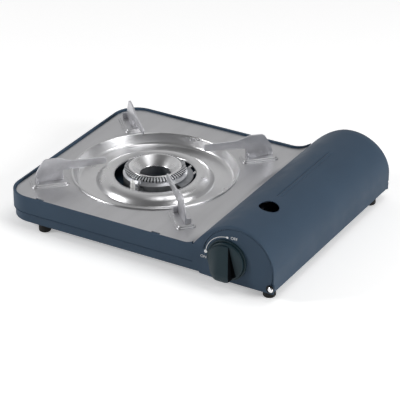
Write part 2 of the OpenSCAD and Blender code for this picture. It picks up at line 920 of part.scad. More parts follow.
module valve_body() {
    color("#7f8287")
    difference() {
        union() {
            translate([knob_x, valve_y1, knob_z])
                rotate([90, 0, 0])
                    cylinder(r = 15, h = valve_y1 - valve_y0);
            difference() {
                translate([can_x, reg_y1, can_z])
                    rotate([90, 0, 0])
                        cylinder(r = reg_r, h = reg_y1 - reg_y0);
                translate([cover_x, reg_y0 - 1, can_z - big / 4])
                    cube([big / 2, reg_y1 - reg_y0 + 2, big / 2]);
            }
            for (p = valve_posts)
                translate([p[0], valve_y0 + 6.5, p[1]])
                    rotate([90, 0, 0])
                        cylinder(r = 3.8, h = valve_y0 + 6.5 - front_y - sheet);
            translate([riser[0] - 4.5, riser[1] - 4.5, tube_z + 4])
                cube([9, 9, knob_z - tube_z - 11]);
        }
        translate([knob_x, valve_y1 - 6, knob_z])
            rotate([90, 0, 0])
                cylinder(r = spindle_r + run, h = valve_y1 - valve_y0);
        for (p = valve_posts)
            translate([p[0], valve_y0 + 2, p[1]])
                rotate([90, 0, 0])
                    cylinder(r = valve_screw_r + run, h = valve_y0 + 2 - front_y + 1);
        translate([riser[0], riser[1], tube_z])
            cylinder(r = pipe_r + run, h = 6 + gap);
    }
}

module valve_screws() {
    color("#b9b9bb")
    for (p = valve_posts)
        translate([p[0], front_y, p[1]])
            rotate([-90, 0, 0]) {
                cylinder(r = valve_screw_r, h = 10);
                translate([0, 0, -1.6])
                    difference() {
                        cylinder(r = 2.8, h = 1.6);
                        translate([-2, -0.3, -0.1])
                            cube([4, 0.6, 0.8]);
                        translate([-0.3, -2, -0.1])
                            cube([0.6, 4, 0.8]);
                    }
            }
}

spindle_y0 = front_y - knob_out + 6 + gap;
spindle_y1 = valve_y1 - 7;

module valve_spindle() {
    color("#c0a060")
    difference() {
        translate([knob_x, spindle_y1, knob_z])
            rotate([90, 0, 0])
                cylinder(r = spindle_r, h = spindle_y1 - spindle_y0);
        translate([knob_x - spindle_r, spindle_y0 - 1, knob_z + spindle_r * 0.6])
            cube([2 * spindle_r, 15, spindle_r]);
    }
}

module regulator_cover() {
    color("#9ea1a6")
    translate([cover_x, (reg_y0 + reg_y1) / 2, can_z])
        rotate([0, 90, 0])
            difference() {
                union() {
                    cylinder(r = cover_r, h = 2);
                    cylinder(r = cover_r - 4, h = 5);
                    cylinder(r = 3, h = 6.5);
                }
                for (a = [45:90:315])
                    rotate([0, 0, a])
                        translate([cover_r - 2, 0, -1])
                            cylinder(r = 1 + run, h = 4);
            }
}

cover_r = (reg_y1 - reg_y0) / 2 - 0.5;

module regulator_screws() {
    color("#b9b9bb")
    translate([cover_x, (reg_y0 + reg_y1) / 2, can_z])
        rotate([0, 90, 0])
            for (a = [45:90:315])
                rotate([0, 0, a])
                    translate([cover_r - 2, 0, 0]) {
                        cylinder(r = 1, h = 2.5);
                        translate([0, 0, 2])
                            cylinder(r = 1.7, h = 1.2);
                    }
}

// Canister socket

bulkhead_t = 1.5;
cup_t = 2.7;
cup_back = socket_y - bulkhead_t - 2;
magnet_x = 28;
magnet_r = 6;

module socket_bulkhead() {
    color("#8f9296")
    difference() {
        union() {
            intersection() {
                along_y(socket_y - bulkhead_t, socket_y)
                    difference() {
                        translate([arc_x, arc_z])
                            circle(r = lid_r - sheet - 1.6, $fn = 128);
                        translate([can_x, can_z])
                            circle(r = socket_r + cup_t + run);
                    }
                translate([lid_x + 16, -big / 2, deck_z])
                    cube([lid_w - 26, big, can_z + socket_r + cup_t + 3.7 - deck_z]);
            }
            translate([lid_x + 16, socket_y - 12, deck_z])
                cube([lid_w - 26, 12, bulkhead_t]);
            translate([can_x - 4, socket_y - bulkhead_t, can_z + socket_r + cup_t + 2])
                cube([8, 12, bulkhead_t]);
        }
    }
}

module canister_socket() {
    color("#2f3134")
    translate([can_x, 0, can_z])
        rotate([-90, 0, 0])
            difference() {
                union() {
                    translate([0, 0, cup_back])
                        cylinder(r = socket_r + cup_t, h = socket_y + 5 - cup_back);
                    translate([0, 0, socket_y])
                        cylinder(r = socket_r + cup_t + 1.6, h = 1.6);
                }
                translate([0, 0, socket_y + 5 - socket_l])
                    cylinder(r = socket_r, h = socket_l + 1);
                translate([0, 0, cup_back - 1])
                    cylinder(r = seal_r + run, h = socket_l);
            }
}

seal_r = 5;

module socket_seal() {
    color("#1d1d1f")
    translate([can_x, 0, can_z])
        rotate([-90, 0, 0])
            difference() {
                translate([0, 0, reg_y1])
                    cylinder(r = seal_r, h = socket_y + 5 - socket_l - 0.2 - reg_y1);
                translate([0, 0, reg_y1 - 1])
                    cylinder(r = 2.1, h = 12);
            }
}

module socket_magnets() {
    color("#4a4c50")
    for (s = [-1, 1])
        translate([can_x + s * magnet_x, socket_y, can_z])
            rotate([-90, 0, 0])
                cylinder(r = magnet_r, h = 4);
}

// Heat shield and catch

shield_x = lid_x - 1.6;
shield_end = 5.6;
shield_run = 10;
shield_y0 = bfront_y + shield_end;
shield_y1 = bback_y - shield_end;
shield_top = panel_z + curl_r - sqrt(curl_r * curl_r - shield_run * shield_run) - plate_t - gap;

module heat_shield() {
    color("#a6a8ab")
    difference() {
        union() {
            translate([shield_x, shield_y0, deck_z])
                cube([sheet, shield_y1 - shield_y0, shield_top - deck_z]);
            translate([shield_x - 8, burner_y - 50, deck_z])
                cube([8 + sheet, shield_y1 - burner_y + 40, sheet]);
        }
        translate([shield_x - 1, throat[1] + (shield_x - throat[0]) * leg[1] / leg[0], tube_z])
            rotate([0, 90, 0])
                cylinder(r = tube_r + 4, h = sheet + 2);
        translate([shield_x - 10, front_y + 14, deck_z - 1])
            cube([12, 10, 6]);
    }
}

module lid_catch() {
    color("#b9b9bb")
    along_y(burner_y - 10, burner_y + 10)
        polygon(sheet_of(concat(
            [[shield_x + sheet, shield_top - 16], [shield_x + sheet, shield_top - 5]],
            sway([shield_x + sheet + 0.2, shield_top - 4], [shield_x + sheet + 1.6, shield_top - 0.5], 4)
        ), -0.6));
}

// Lid

slope_x = lid_x + 19;
slope_z = lid_top - 8.5;
lid_low_left = rim_z + 1.2;

// Section of the lid in x and z, drawn in by t, lowered by drop at the crown, with its two lower ends given
function lid_pts(t, drop, z_left, z_right) = let (
    c = [arc_x, arc_z],
    p0 = [lid_x + 0.8 * t, lid_low_left],
    p1 = [slope_x + 0.6 * t, slope_z - 0.8 * t],
    p2 = c + (lid_r - t) * [cos(105), sin(105)],
    raw = concat(
        [[lid_x + 0.8 * t, z_left]],
        [for (i = [0:6]) let (u = i / 6) (1 - u) * (1 - u) * p0 + 2 * u * (1 - u) * p1 + u * u * p2],
        arc(c[0], c[1], lid_r - t, 99, 5, 17),
        [[xr - t, arc_z], [xr - t, z_right]]
    )
) [for (p = raw) [p[0], p[1] - drop * max(0, p[1] - arc_z) / lid_r]];

// Body lofted through sections of the lid, each given as its place along Y and its drop
module lid_loft(t, steps, z_left, z_right) {
    n = len(lid_pts(t, 0, z_left, z_right));
    m = len(steps);
    polyhedron(
        points = [for (s = steps) for (p = lid_pts(t, s[1], z_left, z_right)) [p[0], s[0], p[1]]],
        faces = concat(
            [[for (i = [0:n - 1]) i], [for (i = [n - 1:-1:0]) (m - 1) * n + i]],
            [for (j = [0:m - 2]) for (i = [0:n - 1]) let (k = (i + 1) % n) [j * n + i, j * n + n + i, j * n + n + k]],
            [for (j = [0:m - 2]) for (i = [0:n - 1]) let (k = (i + 1) % n) [j * n + i, j * n + n + k, j * n + k]]
        )
    );
}

module lid_solid() {
    lid_loft(0, [
        [front_y, 2.2], [front_y + 0.6, 1], [front_y + 1.6, 0.3], [front_y + 3, 0],
        [back_y - 9, 0], [back_y - 6, 0.6], [back_y - 3, 2.2], [back_y - 1, 4.4], [back_y, 6.6]
    ], lid_low_left - 1.5, lid_edge_z);
}

module lid_hollow() {
    lid_loft(sheet, [
        [front_y + sheet, 1.4], [front_y + sheet + 2, 0],
        [back_y - 9, 0], [back_y - 6, 0.6], [back_y - 3, 2.4], [back_y - sheet, 5]
    ], -5, -5);
}

module seam_cut(r) {
    translate([seam_x, arc_z - 0.2])
        circle(r = r, $fn = 160);
    translate([seam_x - r, -10])
        square([2 * r, arc_z + 9.8]);
}

ear_y = front_y + sheet + gap;
ear_t = 1.5;
bead_x = arc_x + 6;
bead_l = 128;
bead_h = 0.5;

module gas_lid() {
    color("#4a5a69")
    difference() {
        union() {
            difference() {
                lid_solid();
                lid_hollow();
                along_y(front_y - 1, front_y + sheet + 1)
                    seam_cut(seam_front_r);
                along_y(back_y - sheet - 1, back_y + 1)
                    seam_cut(seam_rear_r);
                for (y = [front_y - 1, back_y - sheet - gap])
                    translate([arc_x, y, -1])
                        cube([big / 4, sheet + gap + 1, flange_z + 1]);
                translate([lid_x - 1, -big / 2, -1])
                    cube([lid_r, big, lid_low_left + 1]);
            }
            for (y = [ear_y, back_y - sheet - gap - ear_t])
                along_y(y, y + ear_t) {
                    translate([pin_x, pin_z])
                        circle(r = xr - pin_x - eps, $fn = 48);
                    translate([pin_x - 2.6, pin_z])
                        square([xr - pin_x + 2.6 - 0.5, 8.6]);
                }
            translate([bead_x, window_y + window_r + 23, lid_top - bead_h - 2.6])
                rotate([-90, 0, 0])
                    cylinder(r = 3, h = bead_l);
        }
        translate([bead_x - 5, window_y + window_r + 20, lid_top - sheet - 12.2])
            cube([10, bead_l + 6, 11.8]);
        translate([bead_x, window_y, lid_top - 10])
            cylinder(r = window_r, h = 20);
        for (y = [ear_y - 1, back_y - sheet - gap - ear_t - 1])
            translate([pin_x, y, pin_z])
                rotate([-90, 0, 0])
                    cylinder(r = pin_r + run, h = ear_t + 2);
    }
}

window_y = front_y + window_from_front;

module lid_pin_front() {
    color("#d5d5d7")
    translate([pin_x, front_y - boss_t, pin_z])
        rotate([-90, 0, 0])
            union() {
                cylinder(r = pin_r, h = boss_t + sheet + gap + ear_t + 2);
                rotate([180, 0, 0])
                    cylinder(r1 = head_r, r2 = head_r - 0.8, h = 1.2);
            }
}

module lid_boss_front() {
    color("#17181a")
    along_y(front_y - boss_t, front_y)
        difference() {
            translate([xr - boss_r, pin_z])
                circle(r = boss_r, $fn = 48);
            translate([pin_x, pin_z])
                circle(r = pin_r + run);
        }
}

module lid_pin_rear() {
    color("#d5d5d7")
    translate([pin_x, back_y, pin_z])
        rotate([90, 0, 0])
            union() {
                cylinder(r = pin_r, h = sheet + gap + ear_t + 2);
                rotate([180, 0, 0])
                    cylinder(r = head_r, h = pin_head_t);
            }
}

// Knob

bezel_r = knob_r + 2.1;
bezel_t = 2.4;
knob_gap = 0.8;
skirt_l = 4.2;
grip_top_w = 6.2;
grip_low_w = 9;
grip_top_r = 20;
grip_low_r = 18;
grip_fall = 5.2;

module knob_bezel() {
    color("#1e3338")
    translate([knob_x, front_y, knob_z])
        rotate([90, 0, 0])
            difference() {
                union() {
                    cylinder(r = bezel_r, h = bezel_t - 0.6);
                    cylinder(r1 = bezel_r, r2 = bezel_r - 0.8, h = bezel_t);
                }
                translate([0, 0, -1])
                    cylinder(r = knob_r + gap, h = bezel_t + 2);
            }
}

// The grip seen from the front: narrow at the top, wide at the bottom, round at both ends
grip_top_a = acos(grip_top_w / grip_top_r);
grip_low_a = acos(grip_low_w / grip_low_r);

module grip_2d() {
    polygon(concat(
        arc(0, 0, grip_top_r, grip_top_a, 180 - grip_top_a, 8),
        arc(0, 0, grip_low_r, 180 + grip_low_a, 360 - grip_low_a, 10)
    ));
}

module knob() {
    color("#2a464c")
    translate([knob_x, front_y - knob_gap, knob_z])
        rotate([90, 0, 0])
            difference() {
                union() {
                    cylinder(r = knob_r, h = skirt_l - 1);
                    translate([0, 0, skirt_l - 1])
                        cylinder(r1 = knob_r, r2 = knob_r - 1.2, h = 1);
                    intersection() {
                        linear_extrude(knob_out)
                            grip_2d();
                        translate([-knob_r, 0, 0])
                            rotate([90, 0, 90])
                                linear_extrude(2 * knob_r)
                                    polygon([
                                        [-knob_r, 1], [knob_r, 1], [knob_r, knob_out - knob_gap - grip_fall - 0.4],
                                        [grip_top_r - 1.5, knob_out - knob_gap - grip_fall],
                                        [2 - grip_low_r, knob_out - knob_gap], [-knob_r, knob_out - knob_gap - 1.6]
                                    ]);
                    }
                }
                difference() {
                    translate([0, 0, -1])
                        cylinder(r = knob_r - 1.2, h = 3.4);
                    translate([0, 0, -2])
                        cylinder(r = spindle_r + 4, h = 7);
                }
                translate([0, 0, -1])
                    cylinder(r = spindle_r + run, h = knob_out - 6 - knob_gap + 1);
            }
}

// Feet

module foot(p) {
    color("#161616")
    translate([p[0], p[1], 0])
        difference() {
            union() {
                cylinder(r1 = foot_r - 1, r2 = foot_r, h = 1);
                translate([0, 0, 1])
                    cylinder(r = foot_r, h = floor_z - 1);
                translate([0, 0, floor_z])
                    cylinder(r = foot_stem_r, h = foot_stem_h);
            }
            translate([0, 0, -1])
                cylinder(r = 3.4, h = 4);
            cylinder(r = 1.5 + run, h = 20);
        }
}

module foot_fl() {
    foot(foot_pos[0]);
}

module foot_fr() {
    foot(foot_pos[1]);
}

module foot_bl() {
    foot(foot_pos[2]);
}

module foot_br() {
    foot(foot_pos[3]);
}

module foot_screws() {
    color("#b9b9bb")
    for (p = foot_pos)
        translate([p[0], p[1], 3]) {
            cylinder(r = 1.5, h = floor_z + foot_stem_h - 3);
            difference() {
                translate([0, 0, -1.6])
                    cylinder(r = 3, h = 1.6);
                translate([-2, -0.3, -1.7])
                    cube([4, 0.6, 0.8]);
                translate([-0.3, -2, -1.7])
                    cube([0.6, 4, 0.8]);
            }
        }
}

lower_tray();
bay_tray();
body_shell();
top_plate();
drip_bowl();
pan_support_fl();
pan_support_fr();
pan_support_bl();
pan_support_br();
burner_base();
burner_ring();
burner_cap();
mixing_tube();
burner_bracket();
burner_screws();
electrode_ceramic();
electrode_wire();
flame_target();
ignition_lead();
piezo_igniter();
piezo_plunger();
ignition_cam();
gas_nozzle();
gas_pipe();
valve_body();
valve_spindle();
valve_screws();
regulator_cover();
regulator_screws();
socket_bulkhead();
canister_socket();
socket_seal();
socket_magnets();
heat_shield();
lid_catch();
gas_lid();
lid_pin_front();
lid_pin_rear();
lid_boss_front();
knob();
knob_bezel();
case_screws();
foot_fl();
foot_fr();
foot_bl();
foot_br();
foot_screws();
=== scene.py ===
import math

import bmesh
import bpy
from mathutils import Matrix, Vector


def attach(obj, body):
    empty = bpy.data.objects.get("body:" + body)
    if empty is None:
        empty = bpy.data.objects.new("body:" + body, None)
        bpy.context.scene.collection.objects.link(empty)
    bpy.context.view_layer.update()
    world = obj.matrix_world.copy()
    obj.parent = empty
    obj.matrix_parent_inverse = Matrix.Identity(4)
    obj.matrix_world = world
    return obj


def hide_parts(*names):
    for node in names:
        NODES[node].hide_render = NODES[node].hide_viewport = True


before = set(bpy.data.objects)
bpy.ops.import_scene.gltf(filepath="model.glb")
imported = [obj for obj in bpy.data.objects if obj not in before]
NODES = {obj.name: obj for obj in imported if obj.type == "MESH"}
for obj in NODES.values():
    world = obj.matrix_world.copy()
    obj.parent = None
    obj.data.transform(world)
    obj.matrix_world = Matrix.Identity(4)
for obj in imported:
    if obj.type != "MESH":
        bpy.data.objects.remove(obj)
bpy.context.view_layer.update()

MM = 0.001

# ---------- dimensions in millimetres, the same as the solids' ----------

KNOB_OUT, CASE_D, HEAD = 14.3, 272.0, 1.6   # reach of the knob, depth of the case, head of the rear pin
TOTAL = KNOB_OUT + CASE_D + HEAD
FY = KNOB_OUT - TOTAL / 2                   # front and back of the canister bay
BY = FY + CASE_D
BFY, BBY = FY + 1.0, BY - 10.7              # front and back of the low part beside it
XR, XL = 170.0, -170.0                      # right and left side
CR = 30.0                                   # corners of the low part
LAP, RIM, PANEL = 20.5, 41.0, 38.8          # heights of the shell's lower edge, the rim and the top plate
RIM_W, PLATE_T, SHELL_T = 2.7, 0.8, 1.0     # width of the rim, thickness of top plate and shell
LX = XR - 98.0                              # left edge of the bay
X_END = LX - 0.3                            # where the rim ends beside the lid
CURL, CURL_X = 20.0, LX - 12.0              # radius and start of the top plate's curl up to the lid
BX, BYC = XL + 117.5, FY + 131.3            # axis of the burner
AX, AZ, LR = 125.0, 31.5, 45.0              # axis and radius of the lid's arch
SX, SZ = 126.3, 31.3                        # centre of the arched end plates and of the lid's end openings
FRONT_R, REAR_R = 41.55, 35.55              # radii of the two plates
FRONT_OPEN, REAR_OPEN = 42.0, 36.0          # and of the openings round them
KX, KZ = 114.5, 36.0                        # axis of the knob
PX, PZ = 166.8, 15.4                        # axis of the lid's hinge
WIN_X, WIN_Y, WIN_R = 131.0, FY + 59.5, 11.0    # the lid's round window
LID_TOP_Z = 42.2                            # where the lid's left edge starts to arch
LID_LOW_Z = LID_TOP_Z - 1.5                 # lower end of that edge
# The pan supports and their directions from the burner's axis in degrees
CORNERS = (("br", 45), ("bl", 135), ("fl", 225), ("fr", 315))


# ---------- mesh helpers ----------

def fillet(pts, r, seg=4, closed=True):
    """Rounds the corners of a 2D or 3D polyline; r is one radius or one for each point.

    Nearly straight corners stay, and a rounding takes less than half of either side.
    """
    pts = [Vector(p) for p in pts]
    n = len(pts)
    out = []
    for i, p in enumerate(pts):
        rad = r[i] if isinstance(r, (list, tuple)) else r
        if rad <= 0 or (not closed and i in (0, n - 1)):
            out.append(p)
            continue
        a, b = pts[i - 1] - p, pts[(i + 1) % n] - p
        la, lb = a.length, b.length
        if la < 1e-9 or lb < 1e-9:
            out.append(p)
            continue
        ang = a.angle(b)
        if ang > math.radians(176):
            out.append(p)
            continue
        t = min(rad / math.tan(ang / 2), 0.46 * la, 0.46 * lb)
        s, e = p + a / la * t, p + b / lb * t
        for j in range(seg + 1):
            u = j / seg
            out.append(s * (1 - u) ** 2 + p * 2 * u * (1 - u) + e * u * u)
    return out


def grid(rings, wrap_i=True, wrap_k=False, cap=False):
    """Quads between rings of equal length; wrap_i closes each ring, wrap_k joins the last to the first."""
    n, m = len(rings[0]), len(rings)
    verts = [tuple(p) for r in rings for p in r]
    faces = []
    for k in range(m if wrap_k else m - 1):
        k2 = (k + 1) % m
        for i in range(n if wrap_i else n - 1):
            i2 = (i + 1) % n
            faces.append((k * n + i, k * n + i2, k2 * n + i2, k2 * n + i))
    if cap:
        faces.append(tuple(range(n))[::-1])
        faces.append(tuple((m - 1) * n + i for i in range(n)))
    return verts, faces


def metre_mesh(name, verts, faces):
    me = bpy.data.meshes.new(name)
    me.from_pydata([(v[0] * MM, v[1] * MM, v[2] * MM) for v in verts], [], faces)
    return me


def shade_smooth(me, angle):
    me.polygons.foreach_set("use_smooth", [True] * len(me.polygons))
    me.set_sharp_from_angle(angle=math.radians(angle))


def make(name, verts, faces, mat, body="case", nodes=(), angle=38):
    """A visible piece from points in millimetres; edges sharper than angle stay sharp."""
    me = metre_mesh(name, verts, faces)
    me.validate()
    bm = bmesh.new()
    bm.from_mesh(me)
    bmesh.ops.remove_doubles(bm, verts=bm.verts, dist=2e-6)
    bmesh.ops.recalc_face_normals(bm, faces=bm.faces)
    bm.to_mesh(me)
    bm.free()
    shade_smooth(me, angle)
    me.update()
    ob = bpy.data.objects.new(name, me)
    bpy.context.scene.collection.objects.link(ob)
    me.materials.append(mat)
    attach(ob, body)
    if nodes:
        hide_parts(*nodes)
    return ob


def cut(ob, cutters, angle=38):
    """Cuts the given (verts, faces) bodies out of a piece."""
    for verts, faces in cutters:
        me = metre_mesh("cutter", verts, faces)
        bm = bmesh.new()
        bm.from_mesh(me)
        bmesh.ops.recalc_face_normals(bm, faces=bm.faces)
        bm.to_mesh(me)
        bm.free()
        cutter = bpy.data.objects.new("cutter", me)
        bpy.context.scene.collection.objects.link(cutter)
        mod = ob.modifiers.new("cut", "BOOLEAN")
        mod.object = cutter
        mod.operation = "DIFFERENCE"
        mod.solver = "EXACT"
        dg = bpy.context.evaluated_depsgraph_get()
        dg.update()
        new = bpy.data.meshes.new_from_object(ob.evaluated_get(dg))
        ob.modifiers.clear()
        old = ob.data
        ob.data = new
        bpy.data.meshes.remove(old)
        bpy.data.objects.remove(cutter)
        bpy.data.meshes.remove(me)
    shade_smooth(ob.data, angle)


def box_body(x0, x1, y0, y1, z0, z1, turn=0.0, about=(0, 0)):
    """A box, turned by an angle and then moved to about."""
    c, s = math.cos(turn), math.sin(turn)
    verts = []
    for z in (z0, z1):
        for x, y in ((x0, y0), (x1, y0), (x1, y1), (x0, y1)):
            verts.append((about[0] + x * c - y * s, about[1] + x * s + y * c, z))
    faces = [(3, 2, 1, 0), (4, 5, 6, 7), (0, 1, 5, 4), (1, 2, 6, 5), (2, 3, 7, 6), (3, 0, 4, 7)]
    return verts, faces


def cyl_body(cx, cy, r, z0, z1, n=64):
    rings = [[(cx + r * math.cos(2 * math.pi * i / n), cy + r * math.sin(2 * math.pi * i / n), z)
              for i in range(n)] for z in (z0, z1)]
    return grid(rings, cap=True)


def revolve(profile, n=128, at=(0, 0, 0), axis="Z", closed=True):
    """Turns an (r, h) profile about an axis through at; h runs along Z or, for -Y, to the front."""
    rings = []
    for i in range(n):
        a = 2 * math.pi * i / n
        ring = []
        for r, h in profile:
            u, v = r * math.cos(a), r * math.sin(a)
            if axis == "Z":
                ring.append((at[0] + u, at[1] + v, at[2] + h))
            else:
                ring.append((at[0] + u, at[1] - h, at[2] + v))
        rings.append(ring)
    return grid(rings, wrap_i=closed, wrap_k=True)


def slab(poly, lo, hi, bevel=0.0, seg=2, place=lambda u, v, w: (u, v, w)):
    """A flat outline made thick from lo to hi with rounded edges, put in place by place(u, v, w)."""
    bm = bmesh.new()
    low = [bm.verts.new((p[0], p[1], lo)) for p in poly]
    top = [bm.verts.new((p[0], p[1], hi)) for p in poly]
    bm.faces.new(low[::-1])
    bm.faces.new(top)
    n = len(poly)
    for i in range(n):
        bm.faces.new((low[i], low[(i + 1) % n], top[(i + 1) % n], top[i]))
    bmesh.ops.recalc_face_normals(bm, faces=bm.faces)
    if bevel > 0:
        rim = [e for e in bm.edges if abs(e.verts[0].co.z - e.verts[1].co.z) < 1e-6]
        bmesh.ops.bevel(bm, geom=rim, offset=bevel, offset_type="OFFSET", segments=seg,
                        profile=0.5, affect="EDGES", clamp_overlap=True)
    bm.verts.index_update()
    verts = [place(*v.co) for v in bm.verts]
    faces = [tuple(v.index for v in f.verts) for f in bm.faces]
    bm.free()
    return verts, faces


# ---------- lines ----------

def arc(cx, cy, r, a0, a1, n):
    """Points of an arc from a0 to a1 degrees in n steps."""
    return [(cx + r * math.cos(math.radians(a0 + (a1 - a0) * i / n)),
             cy + r * math.sin(math.radians(a0 + (a1 - a0) * i / n))) for i in range(n + 1)]


def sway(p, q, n):
    """A soft step from p to q, level at both ends."""
    return [(p[0] + (q[0] - p[0]) * i / n, p[1] + (q[1] - p[1]) * (1 - math.cos(math.pi * i / n)) / 2)
            for i in range(n + 1)]


def spread(a, b, step):
    """Values from a to b, about step apart."""
    k = max(1, int(round(abs(b - a) / step)))
    return [a + (b - a) * i / k for i in range(k + 1)]


def along(table, x):
    """Second value of a line of points at x, level beyond its ends."""
    for (xa, ya), (xb, yb) in zip(table, table[1:]):
        if xa <= x <= xb:
            return ya + (yb - ya) * (x - xa) / (xb - xa)
    return table[0][1] if x < table[0][0] else table[-1][1]


def outline(d):
    """The low part's outline seen from above, drawn in by d: front, left side and back."""
    back = sway((LX - 20, BBY - d), (LX + 8, BY - d), 16)
    close = [LX - 14 + k for k in range(14)]
    fx = sorted(set([X_END] + close + spread(XL + CR, LX - 14, 12)[1:]), reverse=True)
    bx = sorted(set([X_END] + [x for x, _ in back if x < X_END] + close + spread(XL + CR, LX - 20, 12)[1:]))
    pts = [(x, BFY + d) for x in fx]
    pts += arc(XL + CR, BFY + CR, CR - d, 270, 180, 18)
    pts += [(XL + d, y) for y in spread(BFY + CR, BBY - CR, 14)[1:-1]]
    pts += arc(XL + CR, BBY - CR, CR - d, 180, 90, 18)
    pts += [(x, along(back, x) if x > LX - 20 else BBY - d) for x in bx]
    return pts


def curl(x):
    """How far the top plate and the rim rise at x, beside the lid."""
    if x <= CURL_X:
        return 0.0
    t = min(x - CURL_X, 12.0)
    return CURL - math.sqrt(CURL * CURL - t * t)


# ---------- materials ----------

def material(name, color, rough=0.4, metal=0.0, vary=0.06, vary_scale=30.0, rough_vary=0.06,
             rough_scale=60.0, bump=0.02, bump_scale=900.0, coat=0.0, stretch=(1, 1, 1), spec=None,
             speck=None, rings=None, smudge=0.0):
    """A surface with noise in colour and roughness and a fine bump.

    speck is (scale, threshold, colour) of small spots; rings is (x, y, scale) of turned rings in place of
    the grain; smudge adds to the upper roughness.
    """
    m = bpy.data.materials.new(name)
    m.use_nodes = True
    nt = m.node_tree
    bs = nt.nodes["Principled BSDF"]
    bs.inputs["Metallic"].default_value = metal
    if coat:
        bs.inputs["Coat Weight"].default_value = coat
        bs.inputs["Coat Roughness"].default_value = 0.1
    if spec is not None:
        bs.inputs["Specular IOR Level"].default_value = spec
    tc = nt.nodes.new("ShaderNodeTexCoord")
    mp = nt.nodes.new("ShaderNodeMapping")
    mp.inputs["Scale"].default_value = stretch
    nt.links.new(tc.outputs["Object"], mp.inputs["Vector"])

    def noise(scale, detail=4.0):
        t = nt.nodes.new("ShaderNodeTexNoise")
        t.inputs["Scale"].default_value = scale
        t.inputs["Detail"].default_value = detail
        nt.links.new(mp.outputs[0], t.inputs["Vector"])
        return t.outputs["Fac"]

    def ramp(src, a, b, lo=0.3, hi=0.7):
        r = nt.nodes.new("ShaderNodeValToRGB")
        low, high = r.color_ramp.elements
        low.position, high.position = lo, hi
        low.color, high.color = a, b
        nt.links.new(src, r.inputs[0])
        return r.outputs[0]

    def vector(op, a, b=None):
        v = nt.nodes.new("ShaderNodeVectorMath")
        v.operation = op
        nt.links.new(a, v.inputs[0])
        if b:
            v.inputs[1].default_value = b
        return v

    dark = tuple(c * (1 - vary) for c in color) + (1,)
    light = tuple(min(1, c * (1 + vary)) for c in color) + (1,)
    tint = ramp(noise(vary_scale), dark, light)
    if speck:
        scale, threshold, spot = speck
        mix = nt.nodes.new("ShaderNodeMix")
        mix.data_type = "RGBA"
        spots = ramp(noise(scale, 2.0), (0, 0, 0, 1), (1, 1, 1, 1), threshold, threshold + 0.04)
        nt.links.new(spots, mix.inputs["Factor"])
        nt.links.new(tint, mix.inputs["A"])
        mix.inputs["B"].default_value = spot
        tint = mix.outputs["Result"]
    nt.links.new(tint, bs.inputs["Base Color"])

    mr = nt.nodes.new("ShaderNodeMapRange")
    mr.inputs["From Min"].default_value = 0.3
    mr.inputs["From Max"].default_value = 0.7
    mr.inputs["To Min"].default_value = max(0.02, rough - rough_vary)
    mr.inputs["To Max"].default_value = min(1, rough + rough_vary + smudge)
    nt.links.new(noise(rough_scale, 6.0), mr.inputs["Value"])
    nt.links.new(mr.outputs[0], bs.inputs["Roughness"])

    b = nt.nodes.new("ShaderNodeBump")
    b.inputs["Strength"].default_value = bump
    b.inputs["Distance"].default_value = 0.0004
    if rings:
        moved = vector("SUBTRACT", tc.outputs["Object"], (rings[0] * MM, rings[1] * MM, 0))
        flat = vector("MULTIPLY", moved.outputs[0], (1, 1, 0))
        radius = vector("LENGTH", flat.outputs[0])
        w = nt.nodes.new("ShaderNodeTexNoise")
        w.noise_dimensions = "1D"
        w.inputs["Scale"].default_value = rings[2]
        w.inputs["Detail"].default_value = 6.0
        nt.links.new(radius.outputs["Value"], w.inputs["W"])
        nt.links.new(w.outputs["Fac"], b.inputs["Height"])
    else:
        nt.links.new(noise(bump_scale, 3.0), b.inputs["Height"])
    nt.links.new(b.outputs[0], bs.inputs["Normal"])
    return m


